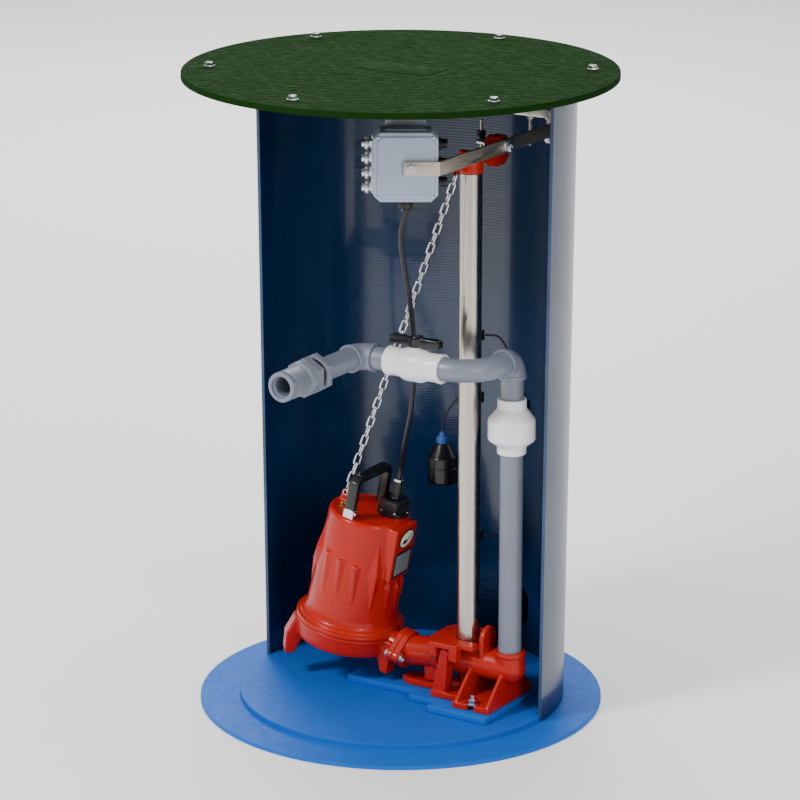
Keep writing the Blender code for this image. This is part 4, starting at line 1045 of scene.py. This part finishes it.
def fitting(name, corner, first, second, spigot):
    """A right-angle fitting: a hollow bend with a lipped hub at each end and a pipe out of the first."""
    corner, a, b = Vector(corner), Vector(first), Vector(second)
    hub, bend, wall, rim = 0.0347, 0.0290, 0.0244, 0.0258
    hub_bore = PIPE_RADIUS + 0.0006
    centre = corner + (a + b) * bend
    path = [corner + a * 0.0338, corner + a * 0.0315]
    turns = 20
    for i in range(turns + 1):
        t = math.pi / 2 * i / turns
        path.append(centre - b * bend * math.cos(t) - a * bend * math.sin(t))
    path += [corner + b * 0.0315, corner + b * 0.0338]
    parts = [hollow("bend", path, [wall] * len(path), [PIPE_BORE] * len(path), 72)]
    for arm in (a, b):
        lip = turned("hub", [
            (hub_bore, 0.0250), (wall - 0.0006, 0.0250), (rim, 0.0275), (rim, hub - 0.0008),
            (rim - 0.0008, hub), (hub_bore, hub),
        ], 72)
        parts.append(facing(lip, arm, corner))
    pipe = ring("pipe", PIPE_BORE, PIPE_RADIUS, 0.026, spigot, 72)
    return join(name, [*parts, facing(pipe, a, corner)])


def make_discharge_line():
    down, front, right = (0, 0, -1), (0, -1, 0), (1, 0, 0)
    spigot = LINE_Z - CHECK_TOP + 0.02
    made = fitting("riser_elbow_fitting", (RISER_X, 0, LINE_Z), down, front, spigot)
    finish(made, "grey_pvc", "station", "riser_elbow")
    reach = VALVE_X - VALVE_HALF + SOCKET_DEPTH - OUTLET_X
    made = fitting("discharge_elbow_fitting", (OUTLET_X, LINE_Y, LINE_Z), right, front, reach)
    finish(made, "grey_pvc", "station", "discharge_elbow")
    centre = (RISER_X - SWEEP_RADIUS, LINE_Y + SWEEP_RADIUS)
    spots = [
        (RISER_X, -0.0183), (RISER_X, -0.03), *arc(centre, SWEEP_RADIUS, 0, -90, 40),
        (VALVE_X + VALVE_HALF - SOCKET_DEPTH, LINE_Y),
    ]
    path = [Vector((x, y, LINE_Z)) for x, y in spots]
    bend = hollow("sweep_pipe", path, [PIPE_RADIUS] * len(path), [PIPE_BORE] * len(path), 80)
    finish(bend, "grey_pvc", "station", "sweep_bend")
    outlet = ring("outlet_tube", PIPE_BORE, PIPE_RADIUS, -LINE_Y + 0.0183, 0.278, 88)
    finish(place(outlet, (OUTLET_X, 0, LINE_Z), FORWARD), "grey_pvc", "station", "outlet_pipe")


def make_ball_valve():
    at = (VALVE_X, LINE_Y, LINE_Z)
    end = VALVE_HALF
    inside = end - 0.0207
    half = [
        (0.0262, 0.0225), (PIPE_BORE, 0.025), (PIPE_BORE, inside), (SOCKET_BORE, inside),
        (SOCKET_BORE, end), (0.0252, end), (0.0268, end - 0.0010), (0.0268, end - 0.0070),
        (0.0258, end - 0.0078), (0.0258, 0.0285), (0.0266, 0.0265), (0.0305, 0.0170),
        (0.0312, 0.0140), (0.0312, 0.0040), (0.0306, 0.0032),
    ]
    body = place(turned("valve_case", half + [(r, -z) for r, z in reversed(half)], 112), at, RIGHTWARD)
    neck = turned("neck", [
        (0.0062, 0.0285), (0.0128, 0.0285), (0.0115, 0.0305), (0.0115, 0.0335), (0.0062, 0.0335),
    ], 56)
    cut(body, place(rod("stem_bore", 0.0062, 0.02, 0.05, 40), at))
    whole = join("ball_valve_case", [body, place(neck, at)])
    finish(whole, "white_pvc", "station", "ball_valve_body", smooth=30)
    wing = [
        (-0.052, 0.0365), (-0.048, 0.0345), (0.048, 0.0345), (0.052, 0.0365),
        (0.052, 0.0488), (0.048, 0.051), (-0.048, 0.051), (-0.052, 0.0488),
    ]
    handle = join("valve_wing_handle", [
        rod("handle", 0.0155, 0.0338, 0.0515, 72, 0.0016),
        bevel(prism("wings", wing, -0.0078, 0.0078, "Y"), 0.0016, 3),
        turned("cap", [(0, 0.0512), (0.0092, 0.0512), (0.0085, 0.0524), (0, 0.0526)], 48),
        rod("stem", 0.0056, 0.0249, 0.04, 32),
        block("key", (-0.0055, -0.0018, 0.0209), (0.0055, 0.0018, 0.026)),
    ])
    finish(place(handle, at), "black_plastic", "valve_spindle", "valve_handle")


def make_bulkhead():
    """The outlet through the missing front wall: nut, gasket, and a fitting with a threaded end."""
    centre = (OUTLET_X, 0, LINE_Z)
    nut_near, nut_far, seat, end = 0.2570, 0.2720, 0.2840, -OUTLET_END_Y
    across = 0.0635
    winding = 0.0250
    bore = SOCKET_BORE
    nut = prism("bulkhead_hex_nut", hexagon(across), nut_near, nut_far)
    bevel(cut(nut, rod("bore", winding + 0.0004, 0.2, 0.3, 72)), 0.0014, 3)
    finish(place(nut, centre, FORWARD), "grey_pvc", "station", "bulkhead_nut")
    gasket = ring("bulkhead_seal", winding + 0.0004, 0.0300, nut_far + GAP, seat - GAP, 88, 0.0016)
    finish(place(gasket, centre, FORWARD), "black_rubber", "station", "bulkhead_gasket")
    fit = turned("fit", [
        (bore, 0.2505), (winding - 0.0006, 0.2505), (winding - 0.0006, seat), (0.0310, seat),
        (0.0315, seat + 0.0006), (0.0315, 0.3120), (0.0300, 0.3150), (0.0272, 0.3165),
        (0.0240, 0.3175), (0.0240, 0.3590), (0.0262, 0.3605), (0.0270, 0.3620),
        (0.0270, end - 0.0022), (0.0258, end - 0.0004), (0.0240, end), (0.0206, end),
        (0.0198, end - 0.0012), (0.0198, end - 0.006), (0.0186, end - 0.0075),
        (PIPE_BORE, end - 0.009), (PIPE_BORE, 0.2783), (bore, 0.2783),
    ], 112)
    collar = common(prism("collar", hexagon(across), seat + 0.0005, 0.3015), turned("shape", [
        (0.0295, seat), (0.05, seat), (0.05, 0.2965), (0.0318, 0.3035), (0.0295, 0.3035),
    ], 96))
    turns = thread("turns", 0.0242, 0.0056, 0.3172, 0.3600, 0.0028)
    near_turns = thread("near_turns", winding - 0.0007, 0.0030, 0.2508, nut_near + 0.0005, 0.0007)
    made = join("bulkhead_body", [fit, collar, turns, near_turns])
    finish(place(made, centre, FORWARD), "grey_pvc", "station", "bulkhead_fitting", smooth=30)


# ---------------------------------------------------------------- pump


def wall_at(z):
    """The housing wall's radius at a height."""
    return 0.0862 - (z - 0.018) * 0.0657


def spear(angle, low, high, half, bulge, waist=0.45):
    """A long ridged rib: four facets that meet on a line down its middle, widest at its waist."""
    middle = low + (high - low) * waist
    outline = [(high, 0), (middle, half), (low, 0), (middle, -half)]
    bm = bmesh.new()
    flat = [bm.verts.new((wall_at(z) - 0.004, y, z)) for z, y in outline]
    tips = [bm.verts.new((wall_at(z) + 0.0002, y, z)) for z, y in outline]
    crest = bm.verts.new((wall_at(middle) + bulge, 0, middle))
    for k in range(4):
        n = (k + 1) % 4
        bm.faces.new((flat[k], flat[n], tips[n], tips[k]))
        bm.faces.new((tips[k], tips[n], crest))
    bm.faces.new(flat[::-1])
    return place(mesh_from("rib", bm), turn=(0, 0, angle))


def flute(angle, top, low=0.055, half=0.0095, proud=0.0062):
    """A ridge with a flat crossways top that sinks into the wall as it runs down."""
    root = -0.004
    foot_half = half * 0.7
    high = [
        (root, -half, 0), (0.0004, -half, 0), (proud, 0, -0.0015), (0.0004, half, 0), (root, half, 0),
    ]
    foot = [(root, -foot_half), (0.0001, -foot_half), (0.0003, 0), (0.0001, foot_half), (root, foot_half)]
    bm = bmesh.new()
    rows = skin(bm, [
        [(wall_at(top) + x, y, top + z) for x, y, z in high],
        [(wall_at(low) + x, y, low) for x, y in foot],
    ])
    bm.faces.new(rows[0])
    bm.faces.new(rows[1][::-1])
    return place(mesh_from("flute", bm), turn=(0, 0, angle))


def make_motor_housing():
    crown = arc((0.0655, HOUSING_TOP - 0.0085), 0.0085, -5, 90, 10)
    top = HOUSING_TOP - 0.0007
    housing = turned("housing", [
        (0, -0.012), (0.1017, -0.012), (0.1025, -0.0112), (0.1025, -0.0048), (0.1014, -0.0036),
        (0.0995, -0.0030), (0.0965, -0.0028), (0.0960, 0.0018), (0.0925, 0.0030), (0.0895, 0.0065),
        (0.0875, 0.0120), (0.0862, 0.0180), (0.0745, 0.196), *crown, (0.0625, top), (0, top),
    ], 120)
    pad = bevel(block("pad", (0.05, -0.037, 0.104), (PAD_FACE, 0.037, 0.2095)), 0.003, 3)
    boss = rod("gland_boss", 0.0315, 0.175, HOUSING_TOP - 0.0005, 72)
    lug_top = arc((LUG_X, LUG_Z), 0.0075, 0, 180, 16)
    lug_line = [(-0.070, 0.2), (-0.040, 0.2), (-0.046, 0.225), *lug_top, (-0.066, 0.21)]
    solids = [
        housing, place(pad, turn=(0, 0, PAD_TURN)), place(boss, (GLAND_X, GLAND_Y, 0)),
        prism("lug", lug_line, -0.0045, 0.0045, "Y"),
        spear(-37, 0.035, 0.180, 0.0120, 0.0090, 0.52), spear(-14, 0.036, 0.108, 0.0075, 0.0068, 0.7),
        spear(5, 0.036, 0.102, 0.0065, 0.0062, 0.7), spear(24, 0.036, 0.108, 0.0075, 0.0068, 0.7),
    ]
    solids += [spear(angle, 0.035, 0.168, 0.0115, 0.0085) for angle in (50, 85, 118)]
    solids += [spear(-136, 0.085, 0.190, 0.0120, 0.0095), spear(-160, 0.035, 0.168, 0.0115, 0.0085)]
    flutes = ((-109, 0.141), (-87, 0.137), (-65, 0.131), (150, 0.135), (170, 0.135), (190, 0.135))
    solids += [flute(angle, top) for angle, top in flutes]
    whole = cast(join("motor_housing_casting", solids), 0.0013, 2)
    eye = place(rod("lug_eye", 0.0042, -0.02, 0.02, 32), (LUG_X, 0, LUG_Z), FORWARD)
    cavity = turned("cavity", [
        (0, -0.02), (0.0575, -0.02), (0.0575, 0.168), (0.0206, 0.168), (0.0206, 0.196), (0, 0.196),
    ], 64)
    cut(whole, eye, cavity)
    finish(in_pump(whole), "red_iron", "pump", "motor_housing", smooth=50)
    lined = ring("lug_ring", 0.0042, 0.0058, -0.0052, 0.0052, 40)
    finish(in_pump(place(lined, (LUG_X, 0, LUG_Z), FORWARD)), "bright_steel", "pump")
    plug = screw("oil_plug", 0.0105, 0.0035, 0.0075, 0.0012)
    finish(in_pump(place(plug, (-0.042, -0.0265, HOUSING_TOP - 0.0008))), "brass", "pump")


def on_pad(piece):
    return in_pump(place(piece, turn=(0, 0, PAD_TURN)))


def make_plates():
    """The nameplate, with rivets and five plain bars, and the oval badge above it. Neither has lettering."""
    face = PAD_FACE
    plate = bevel(block("plate", (face + 0.0001, -0.031, 0.110), (face + 0.0010, 0.031, 0.161)), 0.0004, 2)
    rivets = []
    for y in (-0.0282, 0.0282):
        for z in (0.1130, 0.1580):
            rivet = turned("rivet", [(0, 0.0008), (0.0019, 0.0008), (0.0015, 0.0019), (0, 0.0022)], 24)
            rivets.append(place(rivet, (face, y, z), RIGHTWARD))
    whole = on_pad(join("rating_plate", [plate, *rivets]))
    finish(whole, "black_plastic", "pump", "nameplate", slot="bright_steel")
    raised = [block("field", (face + 0.0009, -0.0262, 0.1150), (face + 0.00125, 0.0262, 0.1560))]
    for row in range(5):
        z = 0.1205 + row * 0.0078
        end = (face + 0.0015, 0.0235 - 0.006 * (row % 3), z + 0.0022)
        raised.append(block("bar", (face + 0.0011, -0.0235, z), end, 0.0002))
    finish(on_pad(join("plate_field", raised)), "plate_grey", "pump")
    oval = [(0.0255 * x, 0.0160 * y) for x, y in around(1, 56)]
    badge = bevel(prism("badge_oval", oval, 0.0, 0.0016), 0.0005, 2)
    swoosh = [
        (-0.0165, -0.0050), (-0.004, -0.0078), (0.0155, 0.0020), (0.0185, 0.0050), (0.003, -0.0020),
        (-0.010, 0.0006),
    ]
    mark = prism("badge_mark", swoosh, 0.0012, 0.0021)
    rim = hollow("badge_rim", [Vector((0, 0, 0.0002)), Vector((0, 0, 0.0019))], [1.0, 1.0], [0.88, 0.88], 56)
    rim.data.transform(Matrix.Diagonal((0.0268, 0.0172, 1, 1)))
    for piece, look in ((badge, "badge_cream"), (mark, "black_plastic"), (rim, "black_plastic")):
        place(piece, turn=(0, 0, 8))
        place(piece, (face + 0.0001, 0.001, 0.1855), (90, 0, 90))
        finish(on_pad(piece), look, "pump")


def make_volute():
    body = turned("volute_body", [
        (0, -0.048), (0.0965, -0.048), (0.0992, -0.0455), (0.1008, -0.0385), (0.1020, -0.0185),
        (0.1025, -0.0172), (0.1025, -0.0131), (0.1017, -0.0123), (0, -0.0123),
    ], 120)
    neck = rod("neck", 0.0245, 0.098, DISCHARGE_FACE - 0.002, 64)
    throat_line = [(0.088, -0.046), (0.1165, -0.036), (0.1165, -0.0127), (0.088, -0.0127)]
    foot_line = [(0.092, -0.02), (0.1165, -0.035), (0.1165, -0.073), (0.102, -0.073), (0.09, -0.045)]
    leg_line = [
        (0.082, -0.014), (0.1045, -0.014), (0.1185, -0.052), (0.116, -0.091), (0.098, -0.091),
        (0.082, -0.047),
    ]
    solids = [
        body, place(neck, (0, 0, DISCHARGE_Z), RIGHTWARD),
        prism("flange", flange_outline(), DISCHARGE_FACE - 0.0115, DISCHARGE_FACE - 0.0002, "X"),
        prism("throat", throat_line, -0.03, 0.03, "Y"),
    ]
    for angle in (140, 220):
        leg = bevel(prism("leg", leg_line, -0.0165, 0.0165, "Y"), 0.0032, 2)
        solids.append(place(leg, turn=(0, 0, angle)))
    solids.append(prism("foot", foot_line, -0.036, -0.006, "Y"))
    whole = cast(join("volute_casting", solids), 0.0014, 3)
    chamber = turned("chamber", [
        (0, -0.06), (0.0275, -0.06), (0.0275, -0.040), (0.052, -0.040), (0.052, 0.0), (0, 0.0),
    ], 64)
    cut(whole, place(rod("bore", BORE, 0.045, 0.15, 48), (0, 0, DISCHARGE_Z), RIGHTWARD), chamber)
    finish(in_pump(whole), "red_iron", "pump", "volute", smooth=50)
    screws = [ring("cutter_ring", 0.0262, 0.076, -0.0513, -0.048 - GAP, 96)]
    for k, (x, y) in enumerate(around(0.064, 6, 15)):
        screws.append(place(screw("head", 0.0085, 0.0036), (x, y, -0.0512), (180, 0, 20 * k)))
    finish(in_pump(join("cutter_plate_set", screws)), "bright_steel", "pump", "cutter_plate")
    nuts = []
    for y in (-DISCHARGE_BOLT_Y, DISCHARGE_BOLT_Y):
        nut = screw("nut", 0.0135, 0.0065, 0.0095, 0.0016, 0.0042, 0.0125)
        nuts.append(place(nut, (DISCHARGE_FACE + 0.0128, y, DISCHARGE_BOLT_Z), (20, 90, 0)))
        head = screw("head", 0.0135, 0.0065)
        nuts.append(place(head, (DISCHARGE_FACE - 0.0118, y, DISCHARGE_BOLT_Z), (10, -90, 0)))
    finish(in_pump(join("discharge_nuts", nuts)), "bright_steel", "pump")


def make_lift_handle():
    near, far, top, foot = -0.068, 0.054, 0.297, HOUSING_TOP + GAP
    thick, chamfer, inner_chamfer = 0.0125, 0.011, 0.004
    inside = top - thick
    made = prism("handle_strap", [
        (near, foot), (near, top - chamfer), (near + chamfer, top), (far - chamfer, top),
        (far, top - chamfer), (far, foot), (far - thick, foot), (far - thick, inside - inner_chamfer),
        (far - thick - inner_chamfer, inside), (near + thick + inner_chamfer, inside),
        (near + thick, inside - inner_chamfer), (near + thick, foot),
    ], -0.0135, 0.0065, "X")
    finish(in_pump(bevel(made, 0.0022, 4)), "black_plastic", "pump", "lift_handle")
    shoe = block(
        "foot", (-0.0141, near - 0.0006, foot - 0.0008), (0.0071, near + thick + 0.0006, foot + 0.0165),
        0.0008,
    )
    head = place(screw("head", 0.0075, 0.003), (0.0069, near + thick / 2, foot + 0.0088), RIGHTWARD)
    finish(in_pump(join("handle_feet", [shoe, head])), "bright_steel", "pump")


def make_cord_gland():
    bottom = HOUSING_TOP + GAP
    hole = CORD_RADIUS + 0.0003
    rise = [
        (hole, -0.0008), (0.0298, -0.0008), (0.0304, 0), (0.0304, 0.0060), (0.0294, 0.0070),
        (0.0200, 0.0070), (0.0200, 0.0285), (0.0185, 0.0300), (0.0125, 0.0310), (0.0110, 0.0325),
        (0.0102, 0.0345), (0.0102, 0.0600), (0.0092, 0.0640), (0.0075, 0.0665), (hole, 0.0665),
    ]
    body = turned("body", [(radius, bottom + z) for radius, z in rise], 72)
    nut = place(screw("hex", 0.0515, 0.0235), (0, 0, bottom + 0.0066), (0, 0, -20))
    cut(nut, rod("bore", 0.0150, 0, 1, 40))
    ribs = ribs_round(16, (0.0088, -0.0009, bottom + 0.034), (0.0108, 0.0009, bottom + 0.0575), 0.0004)
    made = place(join("cord_gland_set", [body, nut, *ribs]), (GLAND_X, GLAND_Y, 0))
    finish(in_pump(made), "black_plastic", "pump", "cord_gland")
    studs = [place(screw("stud", 0.0042, 0.0026), (x, y, bottom + 0.0068)) for x, y in around(0.0284, 6, 8)]
    studs.append(ring("cap_ring", hole + 0.0010, 0.0094, bottom + 0.0640, bottom + 0.0690, 48))
    made = place(join("gland_studs", studs), (GLAND_X, GLAND_Y, 0))
    finish(in_pump(made), "bright_steel", "pump")


def make_slide_bracket():
    plate = in_pump(prism("plate", flange_outline(), DISCHARGE_FACE + 0.0001, DISCHARGE_FACE + 0.0128, "X"))
    start = lean((DISCHARGE_FACE + 0.012, 0, DISCHARGE_Z))
    stop = Vector((FACE_X, 0, BARREL_Z))
    reach = stop - start
    tilt = 90 - math.degrees(math.atan2(reach.z, reach.x))
    neck = place(rod("neck", 0.0285, 0, reach.length - 0.006, 72), start, (0, tilt, 0))
    face = place(rod("face", 0.0335, -0.0135, -0.0001, 72), stop, RIGHTWARD)
    under, over = 0.1320, 0.1425
    near_side = [(0.0835, -0.03), (0.099, -0.0575), (0.156, -0.0575), (0.16, -0.043), (0.183, -0.043)]
    top = prism("top", near_side + [(x, -y) for x, y in reversed(near_side)], under, over)
    solids = [plate, neck, face, top]
    for side in (-1, 1):
        low, high = sorted((0.0375 * side, 0.0575 * side))
        hook = [
            (0.0965, 0.1135), (0.1125, 0.1135), (0.1125, 0.1325), (0.1400, 0.1325),
            (0.1400, 0.1105), (0.156, 0.1105), (0.156, 0.136), (0.0965, 0.136),
        ]
        solids.append(prism("hook", hook, low, high, "Y"))
    cheek = [(0.078, 0.108), (0.0995, 0.108), (0.0995, 0.136), (0.089, 0.136)]
    solids.append(prism("cheek", cheek, -0.0425, 0.0425, "Y"))
    nub = [(0.062, 0.085), (0.063, 0.054), (0.07, 0.047), (0.082, 0.047), (0.088, 0.054), (0.0905, 0.08)]
    solids.append(prism("nub", nub, -0.017, 0.017, "Y"))
    whole = cast(join("slide_bracket_casting", solids), 0.0013, 3)
    slot_half = PIPE_RADIUS + 0.0019
    slot = block("slot", (RAIL_X, -slot_half, 0.1), (0.2, slot_half, 0.2))
    slot_end = place(rod("slot_end", slot_half, 0.1, 0.2, 72), (RAIL_X, 0, 0))
    saddle = block("saddle", (FACE_X, -0.0372, 0.05), (0.19, 0.0372, under))
    bore = place(rod("bore", BORE, -0.03, reach.length + 0.01, 48), start, (0, tilt, 0))
    cut(whole, slot, slot_end, saddle, bore)
    finish(whole, "red_iron", "pump", "slide_bracket", smooth=50)


# ---------------------------------------------------------------- floats, chain and cords


def make_float_rod():
    stem = rod("stem", 0.003, 0.11, ROD_TOP, 32, 0.0008)
    winding = thread("winding", 0.003, 0.001, 1.045, ROD_TOP - 0.001, 0.0003)
    made = place(join("float_rod_stem", [stem, winding]), (*ROD_AT, 0))
    finish(made, "stainless", "station", "float_rod")
    rim = [(0.0077, 0.009), (0.0085, 0.0082), (0.0085, 0.003), (0.0078, 0.0022)]
    outline = [(0.0030, -0.009), *[(r, -z) for r, z in rim], *rim[::-1], (0.0030, 0.009)]
    bands = []
    for height in (*CLAMP_HEIGHTS.values(), 1.06):
        boss = block("boss", (-0.0035, -0.0118, -0.005), (0.0035, -0.007, 0.005), 0.0008)
        bands += [place(piece, (*ROD_AT, height)) for piece in (turned("band", outline, 48), boss)]
    finish(join("float_rod_clamps", bands), "black_plastic", "station")


def float_route(name):
    x, y = FLOAT_AT[name]
    top = FLOAT_TOPS[name] + 0.022 + GAP
    high = CLAMP_HEIGHTS[name]
    away = Vector((x - ROD_AT[0], y - ROD_AT[1], 0))
    side = away.normalized()
    root = Vector((*ROD_AT, high)) + side * (0.0085 + GAP)
    return [
        root, root + side * 0.010, root + away * 0.42 - Vector((0, 0, 0.004)),
        Vector((x, y, (high + top) / 2)) - side * 0.008, Vector((x, y, top + 0.018)), Vector((x, y, top)),
    ]


def make_cord(name, route, spacing, radius, steps, node):
    """A cord from the station to a moving body, curving between them."""
    path = smooth_route(route, spacing)
    cord = tube(name, path, radius, steps)
    finish(cord, "black_cord", None, node, smooth=60)
    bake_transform(cord)


def make_float(name):
    at = (*FLOAT_AT[name], FLOAT_TOPS[name])
    body = name + "_float"
    wide, high = FLOAT_RADIUS, FLOAT_HEIGHT
    shell = turned(f"float_{name}_shell", [
        (0, -high), (wide - 0.006, -high), *arc((wide - 0.006, -high + 0.006), 0.006, -80, 0, 8),
        (wide, -0.046), (wide - 0.0008, -0.0452), (wide - 0.0008, -0.0438), (wide, -0.043),
        (wide, -0.028), *arc((wide - 0.005, -0.0275), 0.005, 5, 55, 5),
        (0.0145, -0.0020), (0.0125, 0.0), (0, 0.0),
    ], 88)
    finish(place(shell, at), "black_plastic", body, "float_" + name)
    collar = turned("collar", [
        (0, -0.001), (0.0108, -0.001), (0.0112, 0.0005), (0.0112, 0.0110), (0.0100, 0.0130),
        (0.0070, 0.0150), (0.0055, 0.0215), (0.0045, 0.022), (0, 0.022),
    ], 56)
    ribs = ribs_round(10, (0.0104, -0.0009, 0.0010), (0.0121, 0.0009, 0.0105), 0.0003)
    finish(place(join(f"float_{name}_collar", [collar, *ribs]), at), "float_blue", body)
    make_cord(
        f"float_{name}_lead", float_route(name), 0.0045, FLOAT_CORD_RADIUS, 20, "float_cord_" + name
    )


def chain_link(length, wide, wire):
    """One welded oval link standing along Z in the XZ plane."""
    half = length / 2 - wide / 2
    path = [
        Vector((x, 0, z + lift)) for start, lift in ((0, half), (180, -half))
        for x, z in arc((0, 0), wide / 2 - wire, start, start + 180, 12)
    ]
    angles = [math.tau * k / 12 for k in range(12)]
    rings = []
    for i, at in enumerate(path):
        ahead = (path[(i + 1) % len(path)] - path[i - 1]).normalized()
        side = ahead.cross(Vector((0, 1, 0))).normalized()
        rings.append([at + wire * (side * math.cos(a) + Vector((0, math.sin(a), 0))) for a in angles])
    bm = bmesh.new()
    skin(bm, rings, closed=True)
    return mesh_from("link", bm)


def make_chain():
    bottom = lean(CHAIN_LUG)
    along = CHAIN_EYE - bottom
    pitch, wide, wire = 0.0205, 0.0148, 0.0021
    count = round(along.length / pitch)
    step = along / count
    links = []
    for i in range(count):
        made = place(chain_link(step.length + 4 * wire, wide, wire), turn=(0, 0, 45 + 90 * (i % 2)))
        links.append(facing(made, along, bottom + step * (i + 0.5)))
    chain = join("lifting_chain", links)
    finish(chain, "bright_steel", None, "lift_chain", slot="stainless")
    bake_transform(chain)


def power_cord_route():
    """Down from the box, behind the ball valve, and into the pump's gland along its own lean."""
    pump_gland = lean((GLAND_X, GLAND_Y, HOUSING_TOP + GAP + 0.067))
    up = lean((0, 0, 1)) - PUMP_AT
    return [
        BOX_FRAME @ Vector((0, BOX_GLAND_Y, -0.0235)), (0.094, -0.139, 0.953), (0.086, -0.134, 0.930),
        (0.079, -0.121, 0.895), (0.075, -0.103, 0.845), (0.073, -0.085, 0.794), (0.069, -0.070, 0.750),
        (0.064, -0.057, 0.703), (0.058, -0.046, 0.657), (0.049, -0.036, 0.612), (0.038, -0.026, 0.566),
        (0.022, -0.014, 0.520), (0.003, 0.004, 0.475), pump_gland + up * 0.025, pump_gland,
    ]


# ---------------------------------------------------------------- carried-over CAD nodes


def dress_carried_nodes():
    """The ten hidden nodes keep their CAD meshes and get materials."""
    looks = {
        "black_rubber": ("check_flapper", "shaft_seal"),
        "white_pvc": ("valve_ball",),
        "laminated_steel": ("motor_stator", "rotor_core"),
        "bright_steel": ("lower_bearing", "upper_bearing", "motor_shaft", "impeller", "grinder_cutter"),
    }
    for look, names in looks.items():
        for name in names:
            for slot in bpy.data.objects[name].material_slots:
                slot.material = LOOKS[look]


# ---------------------------------------------------------------- floor, light and camera


def area_light(name, at, aim, size, power):
    data = bpy.data.lights.new(name, "AREA")
    data.shape = "RECTANGLE"
    data.size, data.size_y = size
    data.energy = power
    made = link(name, data)
    made.location = at
    made.rotation_euler = (Vector(aim) - Vector(at)).to_track_quat("-Z", "Y").to_euler()


def make_studio():
    bm = bmesh.new()
    bmesh.ops.create_grid(bm, x_segments=1, y_segments=1, size=14)
    floor = mesh_from("studio_floor", bm)
    floor.location.z = -0.0005
    white = (0.97, 0.97, 0.97, 1)
    pale = shader_base("pale_floor", 0.9, Base_Color=white, Specular_IOR_Level=0.1)[0]
    floor.data.materials.append(pale)
    world = bpy.data.worlds.new("studio")
    bpy.context.scene.world = world
    world.use_nodes = True
    back = world.node_tree.nodes["Background"]
    back.inputs["Color"].default_value = (1, 1, 1, 1)
    back.inputs["Strength"].default_value = 0.5
    target = (0, 0, 0.55)
    area_light("key", (-1.6, -3.6, 3.9), target, (1.0, 1.0), 200)
    area_light("fill", (3.8, -2.0, 1.8), target, (0.8, 2.4), 60)
    area_light("top", (0.2, 0.2, 4.4), target, (3.4, 3.0), 70)
    area_light("back", (-3.2, 4.2, 4.6), (-2.0, 3.2, 0), (4.0, 4.0), 380)


def make_camera():
    """The photograph's viewing angle: 32.5 degrees round from the open side and 16.177 degrees down."""
    data = bpy.data.cameras.new("photo_camera")
    data.sensor_width = 36
    data.lens = 154.73
    data.shift_x = -0.0009
    data.shift_y = -0.0161
    camera = link("photo_camera", data)
    camera.location = (3.2545, -5.1085, 2.3571)
    camera.rotation_euler = (math.radians(90 - 16.177), 0, math.radians(32.5))
    bpy.context.scene.camera = camera


make_camera()
make_cord("power_lead", power_cord_route(), 0.008, CORD_RADIUS, 32, "power_cord")
for name in CLAMP_HEIGHTS:
    make_float(name)
make_chain()
for make in (
    make_base, make_basin, make_cover, make_base_elbow, make_guide_rail, make_upper_bracket,
    make_brace_strap, make_wall_bracket, make_bracket_stud, make_junction_box, make_box_hanger,
    make_connectors, make_box_gland, make_riser, make_discharge_line, make_ball_valve,
    make_bulkhead, make_motor_housing, make_plates, make_volute, make_lift_handle,
    make_cord_gland, make_slide_bracket, make_float_rod, dress_carried_nodes, make_studio,
):
    make()
